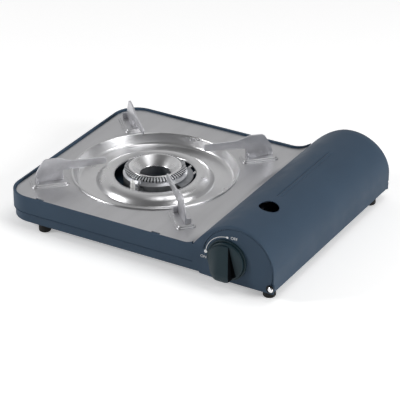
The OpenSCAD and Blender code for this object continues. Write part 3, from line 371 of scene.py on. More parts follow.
M = {
    "case": material("case_paint", (0.045, 0.074, 0.113), rough=0.5, vary=0.05, rough_vary=0.05, bump=0.10,
                     bump_scale=1400, spec=0.16, smudge=0.04),
    "lid": material("lid_paint", (0.046, 0.075, 0.115), rough=0.5, vary=0.04, rough_vary=0.04, bump=0.07,
                    bump_scale=1200, spec=0.16, smudge=0.04),
    # Near-black painted shade for the case's inside, so that what is seen through the lid's window reads dark
    "inside": material("inside_painted_shade", (0.014, 0.018, 0.022), rough=0.6, vary=0.1, bump=0.1),
    "plate": material("plate_grey", (0.60, 0.60, 0.615), rough=0.40, metal=0.95, vary=0.05, vary_scale=60,
                      rough_vary=0.06, rough_scale=40, bump=0.10, bump_scale=2200, stretch=(1, 0.12, 1)),
    "bowl": material("bowl_bright", (0.72, 0.72, 0.73), rough=0.29, metal=1.0, vary=0.03, rough_vary=0.03,
                     rough_scale=35, bump=0.0, rings=(BX, BYC, 900), smudge=0.03),
    "cap": material("cap_bright", (0.84, 0.84, 0.85), rough=0.28, metal=1.0, vary=0.04, rough_vary=0.05,
                    bump=0.02, rings=(BX, BYC, 1300)),
    "cast": material("cast_alloy", (0.33, 0.34, 0.36), rough=0.48, metal=0.85, vary=0.12, vary_scale=160,
                     bump=0.35, bump_scale=1500),
    "ring": material("ring_bright", (0.72, 0.73, 0.76), rough=0.36, metal=0.95, vary=0.08, vary_scale=120,
                     bump=0.10, bump_scale=2000, smudge=0.05),
    "blade": material("blade_enamel", (0.62, 0.62, 0.65), rough=0.34, metal=0.55, vary=0.08, vary_scale=80,
                      bump=0.15, bump_scale=1800, speck=(1400, 0.72, (0.3, 0.3, 0.32, 1))),
    "steel": material("plated_steel", (0.5, 0.51, 0.53), rough=0.32, metal=1.0, vary=0.08, vary_scale=90,
                      bump=0.08, bump_scale=1400, stretch=(1, 6, 1)),
    "chrome": material("pin_bright", (0.82, 0.82, 0.84), rough=0.14, metal=1.0, vary=0.03, bump=0.03),
    "brass": material("brass_part", (0.60, 0.42, 0.16), rough=0.3, metal=1.0, vary=0.08, bump=0.08),
    "knob": material("knob_plastic", (0.009, 0.026, 0.035), rough=0.42, spec=0.28, vary=0.06, bump=0.18,
                     bump_scale=2600, rough_vary=0.05, smudge=0.03),
    "black": material("black_plastic", (0.012, 0.012, 0.014), rough=0.45, vary=0.1, bump=0.15,
                      bump_scale=2200),
    # Near-black painted shade: the flame ring's slots, the grip's right side and the grip's cast shadow on
    # the knob's disc
    "shade": material("painted_shade", (0.0025, 0.003, 0.004), rough=0.85, spec=0.04, vary=0.1, bump=0.1),
    "white": material("white_plastic", (0.7, 0.7, 0.67), rough=0.4, vary=0.03, bump=0.05),
    "ceramic": material("white_ceramic", (0.92, 0.92, 0.90), rough=0.22, vary=0.05, bump=0.04, coat=0.3),
    "sleeve": material("lead_sleeve", (0.55, 0.52, 0.45), rough=0.55, vary=0.05, bump=0.1),
    "rubber": material("black_rubber", (0.008, 0.008, 0.008), rough=0.62, spec=0.25, vary=0.15, bump=0.3,
                       bump_scale=2400),
    "print": material("print_white", (0.86, 0.87, 0.88), rough=0.5, vary=0.02, bump=0.02),
}

# The nodes that keep their CAD shape are painted too; what is not named here gets the inside's near-black
# colour, a painted shade standing in for the dark inside of the case
NODE_MATS = {
    "case": "lower_tray bay_tray body_shell",
    "lid": "gas_lid",
    "plate": "top_plate",
    "bowl": "drip_bowl",
    "cap": "burner_cap",
    "cast": "burner_base burner_ring valve_body",
    "steel": "mixing_tube burner_bracket burner_screws electrode_wire flame_target valve_screws"
             " regulator_cover regulator_screws heat_shield lid_catch case_screws foot_screws",
    "ceramic": "electrode_ceramic",
    "sleeve": "ignition_lead",
    "black": "piezo_igniter canister_socket socket_magnets",
    "white": "piezo_plunger ignition_cam",
    "brass": "gas_nozzle gas_pipe valve_spindle",
    "inside": "socket_bulkhead",
    "chrome": "lid_pin_front lid_pin_rear",
    "rubber": "socket_seal lid_boss_front foot_fl foot_fr foot_bl foot_br",
    "knob": "knob knob_bezel",
    "blade": "pan_support_fl pan_support_fr pan_support_bl pan_support_br",
}
MAT_OF = {name: key for key, names in NODE_MATS.items() for name in names.split()}
for name, ob in NODES.items():
    me = ob.data
    if not me.materials:
        me.materials.append(M["inside"])
    for k in range(len(me.materials)):
        me.materials[k] = M[MAT_OF.get(name, "inside")]


# ---------- shell ----------

RIM_OUT_R, RIM_IN_R = 1.1, 0.6      # roundings of the rim's outer and inner edge
LINE_D = 0.6                        # depth of the groove above the shell's lower edge
PLATE_UNDER = PANEL - PLATE_T       # underside of the top plate
# Heights of the end plates: their foot, the notch for the lid's skirt and the top beside the arch
PLATE_FOOT, NOTCH_Z, LEDGE = 9.6, 19.5, 40.5


def rim_rings(profile):
    """One ring of 3D points for each (inset, height, lifted) point of the profile."""
    rings = []
    for d, z, lifted in profile:
        rings.append([(x, y, z + (curl(x) if lifted else 0.0)) for x, y in outline(d)])
    return rings


prof = [(0.0, LAP, False), (0.0, LAP + 0.5, False), (LINE_D, LAP + 0.8, False), (LINE_D, LAP + 1.5, False),
        (0.0, LAP + 1.8, False), (0.0, 36.0, False)]
for k in range(7):
    a = math.pi / 2 * k / 6
    prof.append((RIM_OUT_R - RIM_OUT_R * math.cos(a), RIM - RIM_OUT_R + RIM_OUT_R * math.sin(a), True))
for k in range(5):
    a = math.pi / 2 * k / 4
    prof.append((RIM_W - RIM_IN_R + RIM_IN_R * math.sin(a), RIM - RIM_IN_R + RIM_IN_R * math.cos(a), True))
prof += [(RIM_W, PANEL - 0.4, True), (RIM_W + 6, PLATE_UNDER - 0.02, True),
         (RIM_W + 6, PLATE_UNDER - 1, True), (SHELL_T, PLATE_UNDER - 1, True), (SHELL_T, LAP, False)]
v, f = grid(rim_rings(prof), wrap_i=False, wrap_k=True)
# Both ends of the wall are closed
n, m = len(outline(0.0)), len(prof)
f += [tuple(k * n for k in range(m)), tuple(k * n + n - 1 for k in range(m))[::-1]]
make("shell_wall", v, f, M["case"], nodes=("body_shell",), angle=40)


def arch_plate(tag, R, sgn, y0, step, x_join):
    """An arched end plate in one sheet with the wall's swayed end; sgn is the side it faces."""
    def low(x):
        t = max(0.0, min(1.0, (x - LX - 1.5) / 8.0))
        return LAP + (PLATE_FOOT - LAP) * (1 - math.cos(math.pi * t)) / 2

    def top(x):
        d = x - SX
        return LEDGE if abs(d) >= R else max(LEDGE, SZ + math.sqrt(R * R - d * d))

    foot = [(x_join, PLATE_FOOT), (XR - 0.3, PLATE_FOOT), (XR - 0.3, NOTCH_Z), (SX, NOTCH_Z)]
    poly = foot[:1] + [tuple(q) for q in fillet(foot, [0, 1.5, 1.0, 0], closed=False)][1:-1]
    a_right = math.degrees(math.asin((NOTCH_Z - SZ) / R))
    a_join = math.degrees(math.acos((x_join - SX) / R))
    poly += arc(SX, SZ, R, a_right, a_join, 90)
    bm = bmesh.new()
    out = [bm.verts.new((x, y0, z)) for x, z in poly]
    inn = [bm.verts.new((x, y0 - sgn * SHELL_T, z)) for x, z in poly]
    bm.faces.new(out)
    bm.faces.new(inn[::-1])
    for i in range(len(poly) - 1):
        bm.faces.new((out[i], out[i + 1], inn[i + 1], inn[i]))
    xs = [X_END - 0.2, LX + 0.5] + [LX + k for k in range(1, 60) if LX + k < x_join - 0.2]
    prev = None
    for x in xs + [x_join]:
        if x == x_join:
            col = [out[0], out[-1], inn[-1], inn[0]]
        else:
            y = along(step, x)
            yi = y - sgn * SHELL_T
            corners = ((x, y, low(x)), (x, y, top(x)), (x, yi, top(x)), (x, yi, low(x)))
            col = [bm.verts.new(q) for q in corners]
        if prev:
            for i in range(4):
                j = (i + 1) % 4
                bm.faces.new((prev[i], prev[j], col[j], col[i]))
        else:
            bm.faces.new(col)
        prev = col
    bmesh.ops.recalc_face_normals(bm, faces=bm.faces)

    def on_arch(v):
        far = math.hypot(v.co.x - SX, v.co.z - SZ)
        return abs(v.co.y - y0) < 1e-6 and v.co.x > x_join - 0.1 and abs(far - R) < 0.01

    rim = [e for e in bm.edges if all(on_arch(v) for v in e.verts)]
    bmesh.ops.bevel(bm, geom=rim, offset=0.3, offset_type="OFFSET", segments=3, profile=0.5, affect="EDGES")
    bm.verts.index_update()
    verts = [tuple(v.co) for v in bm.verts]
    faces = [tuple(v.index for v in q.verts) for q in bm.faces]
    bm.free()
    make(tag, verts, faces, M["case"], angle=30)


arch_plate("front_plate", FRONT_R, -1, FY, sway((LX + 10, BFY), (LX + 26, FY), 16), LX + 26.5)
arch_plate("rear_plate", REAR_R, 1, BY, sway((LX - 20, BBY), (LX + 8, BY), 24), LX + 24.0)


# ---------- top plate ----------

PLATE_POLY = outline(RIM_W + 0.25)
PLATE_COLS = 480                    # columns of the plate's mesh round the burner
SEAT_R = 92.8                       # radius of the hole for the drip bowl
SHARES = (0, 0.12, 0.3, 0.45, 0.6, 0.7, 0.78, 0.84, 0.9, 0.95, 1.0)
# Distance from the plate's edge, and how far the plate is turned down there
TURNED = ((1.0, 0.03), (0.65, 0.1), (0.35, 0.22), (0.12, 0.4), (0.0, 0.65))


def plate_edge(angle):
    """Distance from the burner's axis to the plate's edge along a direction."""
    dx, dy = math.cos(angle), math.sin(angle)
    best = None
    for (xa, ya), (xb, yb) in zip(PLATE_POLY, PLATE_POLY[1:] + PLATE_POLY[:1]):
        ex, ey = xb - xa, yb - ya
        den = dx * ey - dy * ex
        if abs(den) < 1e-12:
            continue
        t = ((xa - BX) * ey - (ya - BYC) * ex) / den
        u = ((xa - BX) * dy - (ya - BYC) * dx) / den
        if t > 0 and -1e-9 <= u <= 1 + 1e-9:
            best = t if best is None else min(best, t)
    return best


cols = []
for i in range(PLATE_COLS):
    a = 2 * math.pi * i / PLATE_COLS
    far = plate_edge(a)
    stops = [(SEAT_R + (far - 1.4 - SEAT_R) * t, 0.0) for t in SHARES] + [(far - q, dz) for q, dz in TURNED]
    spots = [(BX + q * math.cos(a), BYC + q * math.sin(a), dz) for q, dz in stops]
    cols.append([(x, y, PANEL + curl(x) - dz) for x, y, dz in spots]
                + [(x, y, PANEL - PLATE_T + curl(x)) for x, y, dz in spots[::-1]])
v, f = grid(cols, wrap_i=True, wrap_k=True)
plate = make("deck_plate", v, f, M["plate"], nodes=("top_plate",), angle=45)

PAD_MID, PAD_L, PAD_W, PAD_H = 120.5, 43.0, 22.0, 3.2   # the raised pads: distance from the burner, size
PAD_R = 5.6
TAB_AT, TAB_L, BLADE_T = 11.0, 6.0, 2.0                 # the blades' tabs, to either side of the pad's middle
NOTCH_W = 10.5                                          # the two notches in the plate's front edge

# Inset and height of a pad's skin from its foot to its top, and of its underside
PAD_TOP = ((-0.1, -0.02), (0.06, 0.1), (0.14, 0.75), (0.3, 1.18), (0.6, 1.38), (0.95, 1.44), (1.7, 1.44),
           (1.82, 1.56), (1.9, 2.3), (2.08, 2.85), (2.45, 3.13), (2.95, 3.2))
PAD_UNDER = ((3.4, 2.2), (2.6, 1.0), (0.8, -0.3), (-0.1, -0.3))


def pad_place(turn):
    c, s = math.cos(turn), math.sin(turn)

    def place(u, w, z):
        return (BX + (PAD_MID + u) * c - w * s, BYC + (PAD_MID + u) * s + w * c, z)
    return place


def pad_outline(inset):
    l, w, rad = PAD_L - 2 * inset, PAD_W - 2 * inset, PAD_R - inset * 0.7
    pts = []
    for sx, sy, a0 in ((1, 1, 0), (-1, 1, 90), (-1, -1, 180), (1, -1, 270)):
        pts += arc(sx * (l / 2 - rad), sy * (w / 2 - rad), rad, a0, a0 + 90, 8)
    return pts


plate_cuts = []
for tag, deg in CORNERS:
    turn = math.radians(deg)
    place = pad_place(turn)
    rings = [[place(u, w, PANEL + h) for u, w in pad_outline(ins)] for ins, h in PAD_TOP + PAD_UNDER]
    n, top = len(rings[0]), len(PAD_TOP) - 1
    v, f = grid(rings, wrap_i=True, wrap_k=True)
    f = [q for q in f if not (all(k // n in (top, top + 1) for k in q))]
    f.append(tuple(top * n + i for i in range(n)))
    f.append(tuple((top + 1) * n + i for i in range(n))[::-1])
    pad = make("deck_pad_" + tag, v, f, M["plate"], angle=50)
    slots = [box_body(PAD_MID + t - TAB_L / 2 - 0.5, PAD_MID + t + TAB_L / 2 + 0.5, -1.4, 1.4, 30, 50, turn,
                      (BX, BYC)) for t in (-TAB_AT, TAB_AT)]
    cut(pad, slots, 50)
    plate_cuts += slots
for x in (XL + 39.5, LX - 54.5):
    plate_cuts.append(box_body(x, x + NOTCH_W, BFY, BFY + RIM_W + 5.5, 30, 50))
cut(plate, plate_cuts, 45)


# ---------- drip bowl ----------

BOWL_FLOOR = PANEL - 11.4
HOLE_R = 45.8                       # the bowl's hole round the burner
CREST_X, CREST_Z, CREST_R = HOLE_R + 6.7, PANEL - 1.9, 14


def beside(path, t):
    """A path moved sideways by t."""
    out = []
    for i in range(len(path)):
        a, b = path[max(0, i - 1)], path[min(len(path) - 1, i + 1)]
        dx, dy = b[0] - a[0], b[1] - a[1]
        ln = math.hypot(dx, dy) or 1
        out.append((path[i][0] - dy / ln * t, path[i][1] + dx / ln * t))
    return out


path = [(94.5, PANEL + 0.05)]
path += arc(93.0, PANEL + 0.2, 1.5, 0, 168, 16)
path += arc(84.5, BOWL_FLOOR + 4.2, 4.2, -12, -90, 12)
path += [(80.0, BOWL_FLOOR), (76.0, BOWL_FLOOR), (72.0, BOWL_FLOOR)]
path += arc(CREST_X + 15.2, BOWL_FLOOR + 2.4, 2.4, -90, -150, 10)
path += arc(CREST_X, CREST_Z - CREST_R, CREST_R, 30, 117, 30)
path += [(HOLE_R, CREST_Z - 3.2)]
v, f = revolve(path + beside(path, PLATE_T)[::-1], 240, (BX, BYC, 0))
make("bowl", v, f, M["bowl"], nodes=("drip_bowl",), angle=60)


# ---------- pan supports ----------

SEAT, HUMP = 25.0, 4.8              # heights above the plate: the arm the pan rests on, the hump behind it
FOOT_OUT, FOOT_IN, TIP = 136.0, 105.0, 56.0     # distances from the burner's axis
LUG_W, LUG_H = 5.4, 6.4


def blade_poly():
    """The blade seen from the side: distance from the burner's axis and height above the plate."""
    low = SEAT - 10.4
    p = [(FOOT_IN, PAD_H), (FOOT_IN, low - 2)]
    p += arc(FOOT_IN - 2, low - 2, 2, 0, 82, 8)
    p += arc(TIP + 2.5, low + 4.9, 2.5, 264, 180, 7)
    p += arc(TIP + 2.5, SEAT - 2.7, 2.5, 180, 96, 7)
    p += [(FOOT_IN - 14, SEAT)]
    p += sway((FOOT_IN - 13, SEAT), (FOOT_IN + 8, SEAT + HUMP), 14)
    p += arc(FOOT_OUT - 13.5, SEAT + HUMP - 6.5, 6.5, 90, 25, 12)
    p += [(FOOT_OUT - 1.5, SEAT - 9), (FOOT_OUT + 0.5, SEAT - 17), (FOOT_OUT + 0.5, PAD_H)]
    for t in (TAB_AT, -TAB_AT):
        p += [(PAD_MID + t + TAB_L / 2, PAD_H), (PAD_MID + t + TAB_L / 2, PAD_H - 7),
              (PAD_MID + t - TAB_L / 2, PAD_H - 7), (PAD_MID + t - TAB_L / 2, PAD_H)]
    return p


for tag, deg in CORNERS:
    c, s = math.cos(math.radians(deg)), math.sin(math.radians(deg))

    def put(u, w, t, c=c, s=s):
        return (BX + u * c - t * s, BYC + u * s + t * c, PANEL + w)
    v, f = slab(blade_poly(), -BLADE_T / 2, BLADE_T / 2, 0.55, 3, put)
    make("blade_" + tag, v, f, M["blade"], nodes=("pan_support_" + tag,), angle=32)
    for end, u0, w0, w1 in (("out", 134.2, 0.4, 1 + LUG_W), ("in", 105.3, -1 - LUG_W, -0.4)):
        q = fillet([(w0, PAD_H), (w1, PAD_H), (w1, PAD_H + LUG_H), (w0, PAD_H + LUG_H)], [0, 0, 1.0, 1.0], 4)

        def lug(w, h, t, u0=u0, c=c, s=s):
            return (BX + (u0 + t) * c - w * s, BYC + (u0 + t) * s + w * c, PANEL + h)
        v, f = slab(q, 0, 2, 0.4, 3, lug)
        make("blade_lug_" + end + "_" + tag, v, f, M["blade"], angle=32)


# ---------- burner ----------

CAP_Z = PANEL + 6.9                 # crest of the funnel
BASE_Z = CAP_Z - 9.4                # top of the burner's base
BASE_R, LIP_R, RING_R, FUNNEL_R, THROAT_R = 36.0, 29.6, 34.6, 27.0, 17.2
SLOTS, SLOT_W, SLOT_Z = 60, 1.6, CAP_Z - 4.8

p = fillet([(THROAT_R, BASE_Z - 1.3), (THROAT_R, CAP_Z - 9.6), (FUNNEL_R - 0.3, CAP_Z - 0.4),
            (27.7, CAP_Z), (LIP_R - 0.3, CAP_Z - 0.4), (LIP_R, CAP_Z - 0.8), (LIP_R - 1.8, CAP_Z - 0.8),
            (20.4, CAP_Z - 8.4), (20.4, BASE_Z - 1.3)], [0, 1.6, 0.5, 0.6, 0.3, 0.1, 0.3, 0.6, 0], 5)
v, f = revolve(p, 160, (BX, BYC, 0))
make("funnel_cap", v, f, M["cap"], nodes=("burner_cap",), angle=50)

p = fillet([(BASE_R + 0.4, BASE_Z), (BASE_R + 0.4, BASE_Z + 0.7), (RING_R - 0.6, CAP_Z - 6.4),
            (RING_R - 0.6, CAP_Z - 4.6), (RING_R, CAP_Z - 4.2), (RING_R, CAP_Z - 3),
            (RING_R - 0.4, CAP_Z - 2.6), (LIP_R - 0.8, CAP_Z - 0.8), (LIP_R - 1.4, CAP_Z - 0.8),
            (LIP_R - 1.4, CAP_Z - 2.6), (RING_R - 2.6, CAP_Z - 5.4), (RING_R - 2.6, BASE_Z)],
           [0.1, 0.3, 0.5, 0.2, 0.2, 0.2, 0.2, 0.1, 0, 0, 0.3, 0], 3)
v, f = revolve(p, 240, (BX, BYC, 0))
ring = make("flame_ring", v, f, M["ring"], nodes=("burner_ring",), angle=40)
verts, faces = [], []
for i in range(SLOTS):
    v, f = box_body(LIP_R - 2, RING_R + 1, -SLOT_W / 2, SLOT_W / 2, SLOT_Z, CAP_Z - 0.7,
                    (i + 0.5) * 2 * math.pi / SLOTS, (BX, BYC))
    k = len(verts)
    verts += v
    faces += [tuple(q + k for q in face) for face in f]
cut(ring, [(verts, faces)], 40)
# The slots' walls and floors get the near-black material: painted shade for the dark inside the slots
ring.data.materials.append(M["shade"])
for poly in ring.data.polygons:
    out = Vector((poly.center.x - BX * MM, poly.center.y - BYC * MM, 0)).normalized()
    side = abs(poly.normal.x * out.y - poly.normal.y * out.x)
    if side > 0.9 or abs(poly.center.z - SLOT_Z * MM) < 0.00005:
        poly.material_index = 1


# ---------- knob ----------

KNOB_GAP = 0.8                      # between the knob and the front plate
KNOB_REACH = KNOB_OUT - KNOB_GAP
DISC = 4.2                          # thickness of the knob's disc
GRIP_MID, GRIP_HALF = -1.2, 19.6    # middle and half height of the grip
GRIP_ROWS, GRIP_COLS = 40, 28
GRIP_EDGE = 0.9                     # rounding of the grip's right edge


def knob_place(u, w, t):
    """A point u to the right, w above the knob's axis and t in front of its back."""
    return (KX + u, FY - KNOB_GAP - t, KZ + w)


p = fillet([(21.2, 0.0), (21.2, DISC), (12.0, 4.6), (4.0, 4.6), (4.0, 0.6), (19.8, 0.6), (20.0, 0.0)],
           [0.3, 1.3, 0, 0, 0, 0.2, 0.1], 6)
v, f = revolve(p, 128, (KX, FY - KNOB_GAP, KZ), "-Y")
make("knob_skirt", v, f, M["knob"], body="knob_set", nodes=("knob",), angle=40)


def grip_right(w):
    """Right edge of the grip at the height w above the knob's axis."""
    return 8.8 - 4.4 * max(0.0, w + 16.0) / 34.0


def grip_face(u, w):
    """How far the grip's face stands out: it slopes up to the disc and rounds off towards the left."""
    slope = KNOB_REACH - 7.4 * max(0.0, w + 13.0) / 31.0
    end = max(0.0, -16.0 - w) / 4.9
    slope -= 2.6 * (1 - math.sqrt(max(0.0, 1 - end * end)))
    rise = max(0.0, min(1.0, (u + 20.0) / 15.0))
    return DISC + (slope - DISC) * math.sin(math.pi / 2 * rise)


rows = []
for i in range(GRIP_ROWS + 1):
    w = GRIP_MID - GRIP_HALF * math.cos(math.pi * i / GRIP_ROWS)
    reach = math.sqrt(max(0.0, (20.9 - 0.13 * max(0.0, w)) ** 2 - w * w))
    hi = min(grip_right(w), reach)
    us = [-reach + (hi - GRIP_EDGE + reach) * k / GRIP_COLS for k in range(GRIP_COLS + 1)]
    line = [(-reach, 3.8)] + [(u, grip_face(u, w)) for u in us]
    edge = line[-1][1]
    line += [(hi - GRIP_EDGE + GRIP_EDGE * math.sin(a), edge - GRIP_EDGE + GRIP_EDGE * math.cos(a))
             for a in (0.4, 0.8, 1.2, math.pi / 2)]
    line.append((hi, 3.8))
    rows.append([knob_place(u, w, t) for u, t in line])
v, f = grid(rows, cap=True)
grip = make("knob_grip", v, f, M["knob"], body="knob_set", angle=35)
# Painted shadow: the grip's right side gets the near-black material, and a thin dark sheet on the disc beside
# it stands for the grip's cast shadow there
grip.data.materials.append(M["shade"])
for poly in grip.data.polygons:
    if poly.normal.x > 0.9:
        poly.material_index = 1
# A thin near-black sheet lying on the disc's face: the painted shadow that the grip casts to its right
grip_shadow_patch = [(4.6, 15.0), (5.4, 15.2), (13.2, -14.6), (10.6, -17.0), (8.4, -17.4)]
v, f = slab(grip_shadow_patch, 4.3, 4.75, place=knob_place)
make("knob_grip_painted_shadow", v, f, M["shade"], body="knob_set")

p = fillet([(23.3, 0.0), (23.3, 2.4), (21.5, 2.4), (21.5, 0.0)], [0, 0.8, 0.4, 0], 5)
v, f = revolve(p, 128, (KX, FY, KZ), "-Y")
make("bezel_ring", v, f, M["knob"], nodes=("knob_bezel",), angle=40)

# Printed arc with a dot at either end, and the generic words beside them
ARC_R, ARC_HALF, INK, LETTER = 26.0, 0.32, 0.05, 4.6


def print_place(u, w, t):
    return (KX + u, FY - t - 0.01, KZ + w)


v, f = slab(arc(0, 0, ARC_R + ARC_HALF, 90, 172, 40) + arc(0, 0, ARC_R - ARC_HALF, 172, 90, 40), 0, INK,
            place=print_place)
make("print_arc", v, f, M["print"])
for tag, deg, rad in (("top", 90, 1.3), ("left", 174, 1.9)):
    cx, cz = ARC_R * math.cos(math.radians(deg)), ARC_R * math.sin(math.radians(deg))
    v, f = slab(arc(cx, cz, rad, 0, 345, 23), 0, INK + 0.01, place=print_place)
    make("print_dot_" + tag, v, f, M["print"])


def words(name, text, x, z):
    """A word printed on the front plate."""
    cu = bpy.data.curves.new(name, "FONT")
    cu.body = text
    cu.size = LETTER * MM
    cu.align_x = "CENTER"
    cu.align_y = "CENTER"
    cu.extrude = 0.03 * MM
    tmp = bpy.data.objects.new(name + "_c", cu)
    bpy.context.scene.collection.objects.link(tmp)
    upright = Matrix.Rotation(math.pi / 2, 4, "X")
    tmp.matrix_world = Matrix.Translation((x * MM, (FY - 0.05) * MM, z * MM)) @ upright
    bpy.context.view_layer.update()
    dg = bpy.context.evaluated_depsgraph_get()
    me = bpy.data.meshes.new_from_object(tmp.evaluated_get(dg))
    me.transform(tmp.matrix_world)
    bpy.data.objects.remove(tmp)
    bpy.data.curves.remove(cu)
    ob = bpy.data.objects.new(name, me)
    bpy.context.scene.collection.objects.link(ob)
    me.materials.clear()
    me.materials.append(M["print"])
    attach(ob, "case")


words("print_off", "OFF", KX + 8.0, KZ + 26.6)
words("print_on", "ON", KX - 28.5, KZ - 4.2)


# ---------- lid ----------

LID_T = 1.0
BEAD_X, BEAD_Y0, BEAD_L = AX + 4.8, WIN_Y + 22.5, 121.0
BEAD_HALF = 3.8
FRONT_END, REAR_END = (3.0, 2.2), (15.0, 6.6)   # length and depth of the roundings at the lid's ends


def lid_section(t, drop, z_right):
    """The lid's section at the depth t in the sheet, let down by drop at its crest, down to z_right."""
    p0 = Vector((LX + 0.8 * t, LID_TOP_Z))
    p1 = Vector((LX + 19 + 0.6 * t, 68.0 - 0.8 * t))
    p2 = Vector((AX + (LR - t) * math.cos(math.radians(105)), AZ + (LR - t) * math.sin(math.radians(105))))
    pts = [(LX + 0.8 * t, LID_LOW_Z)]
    for i in range(17):
        u = i / 16
        q = p0 * (1 - u) ** 2 + p1 * 2 * u * (1 - u) + p2 * u * u
        pts.append((q.x, q.y))
    a = 105.0
    while a > 0.6:
        a -= 0.5 if 78 < a < 90 else 2.2
        turn = math.radians(max(a, 0.0))
        pts.append((AX + (LR - t) * math.cos(turn), AZ + (LR - t) * math.sin(turn)))
    pts += [(XR - t, AZ - 4), (XR - t, 21.6), (XR - t, z_right)]
    return [(x, z - drop * max(0.0, z - AZ) / LR) for x, z in pts]


def bead(x, y, z):
    """Height of the pressed bead: a low crest between two grooves, fading out at its ends."""
    if z < 60 or abs(x - BEAD_X) > BEAD_HALF:
        return 0.0
    e = min(y - BEAD_Y0, BEAD_Y0 + BEAD_L - y)
    if e < -1:
        return 0.0
    ends = max(0.0, min(1.0, (e + 1) / 4.0))

    def wave(at, half):
        return math.cos(math.pi / 2 * min(1.0, abs(x - BEAD_X - at) / half)) ** 2

    return ends * (0.24 * wave(0.0, 2.0) - 0.85 * wave(-2.3, 1.5) - 0.55 * wave(2.3, 1.5))


def end_drop(y):
    """How far the crest is let down at y by the roundings of the lid's ends."""
    drop = 0.0
    for s, (length, depth) in ((y - FY, FRONT_END), (BY - y, REAR_END)):
        if s < length:
            drop = depth * (1 - math.sqrt(max(0.0, 1 - (1 - s / length) ** 2)))
    return drop


def right_end(y):
    """Lower end of the lid's right side, higher at both ends."""
    return 21.0 if (y < FY + 1.3 or y > BY - 1.3) else 12.3


def seam_point(x, z, R):
    """Point of the end opening's edge that faces a point of the lid's section."""
    if z < SZ:
        return (SX + R, z)
    a = min(math.atan2(z - SZ, x - SX), math.pi - math.asin((LID_LOW_Z - SZ) / R))
    return (SX + R * math.cos(a), SZ + R * math.sin(a))


# Sections are close together at both ends of the lid and of the bead
ys = [FY + q for q in (0, 0.1, 0.25, 0.45, 0.75, 1.1, 1.6, 2.2, 3.0, 6)]
ys += spread(FY + 12, BEAD_Y0 - 6, 16)
ys += [BEAD_Y0 + q for q in (-1.5, -0.5, 0.5, 1.5, 2.5, 3.5)]
ys += spread(BEAD_Y0 + 12, BEAD_Y0 + BEAD_L - 12, 18)
ys += [BEAD_Y0 + BEAD_L - q for q in (3.5, 2.5, 1.5, 0.5, -0.5, -1.5)]
ys += spread(BEAD_Y0 + BEAD_L + 8, BY - 18, 14)
ys += [BY - q for q in (15, 13, 11, 9.3, 7.8, 6.4, 5.2, 4.1, 3.1, 2.3, 1.6, 1.0, 0.55, 0.2, 0.0)]
ys = sorted(set(round(y, 3) for y in ys))

outer, inner = [], []
for y in ys:
    outer.append([(x, y, z + bead(x, y, z)) for x, z in lid_section(0, end_drop(y), right_end(y))])
    yi = min(max(y, FY + LID_T), BY - LID_T)
    drop = end_drop(max(FY, yi - 0.8) if y < 0 else min(BY, yi + 0.8))
    inner.append([(x, yi, z) for x, z in lid_section(LID_T, drop, right_end(y))])
f_edge = [seam_point(x, z, FRONT_OPEN) for x, _, z in outer[0]]
r_edge = [seam_point(x, z, REAR_OPEN) for x, _, z in outer[-1]]
rings = outer + [[(x, BY, z) for x, z in r_edge], [(x, BY - LID_T, z) for x, z in r_edge]]
rings += inner[::-1] + [[(x, FY + LID_T, z) for x, z in f_edge], [(x, FY, z) for x, z in f_edge]]
v, f = grid(rings, wrap_i=False, wrap_k=True)
# The sheet's two long edges
n, m, last = len(outer[0]), len(ys), len(rings) - 3
for i in (0, n - 1):
    for k in range(m - 1):
        q = (k * n + i, (k + 1) * n + i, (last - k - 1) * n + i, (last - k) * n + i)
        f.append(q if i else q[::-1])
    f.append(tuple((m + k) * n + i for k in (-1, 0, 1, 2)))
    f.append(tuple(k * n + i for k in (0, last, last + 1, last + 2)))
lid = make("lid_cover", v, f, M["lid"], body="lid", nodes=("gas_lid",), angle=35)
cut(lid, [cyl_body(WIN_X, WIN_Y, WIN_R, 60, 90, 96)], 35)

# Hinge ears inside the lid's ends
for tag, y in (("front", FY + 1.3), ("rear", BY - 2.8)):
    pts = arc(PX, PZ, 3.15, 180, 360, 24) + [(XR - 0.6, 24.0), (PX - 2.6, 24.0)]
    v, f = slab(pts, 0, 1.5, 0.2, 2, lambda u, w, t, y=y: (u, y + t, w))
    make("lid_ear_" + tag, v, f, M["lid"], body="lid")


# ---------- pins, boss and feet ----------

p = fillet([(0.0, 1.4), (3.0, 1.4), (3.0, 1.9), (2.2, 2.6), (0.0, 2.8)], [0, 0.1, 0.3, 0.6, 0], 4)
v, f = revolve(p, 48, (PX, FY, PZ), "-Y", closed=False)
make("pin_head_front", v, f, M["chrome"], angle=50)
p = fillet([(2.2, 0.0), (4.4, 0.0), (4.4, 1.4), (2.2, 1.4)], [0, 0, 0.5, 0.2], 4)
v, f = revolve(p, 64, (XR - 4.4, FY, PZ), "-Y")
make("pin_boss_front", v, f, M["rubber"], nodes=("lid_boss_front",))

FEET = {"fl": (XL + 47.5, FY + 12), "fr": (XR - 11.5, FY + 12),
        "bl": (XL + 47.5, BY - 24), "br": (XR - 11.5, BY - 24)}
for tag, (x, y) in FEET.items():
    p = fillet([(3.4, 0.0), (6.2, 0.0), (7.0, 1.4), (7.0, 9.0), (3.0, 9.0), (3.0, 3.0), (3.4, 3.0)],
               [0.3, 0.7, 0.6, 0.2, 0, 0, 0], 4)
    v, f = revolve(p, 64, (x, y, 0))
    make("rubber_foot_" + tag, v, f, M["rubber"], nodes=("foot_" + tag,), angle=40)


# ---------- floor ----------

FLOOR_HALF, FLOOR_GLOW = 6.0, 0.34  # metres; glow that only the camera and reflections see

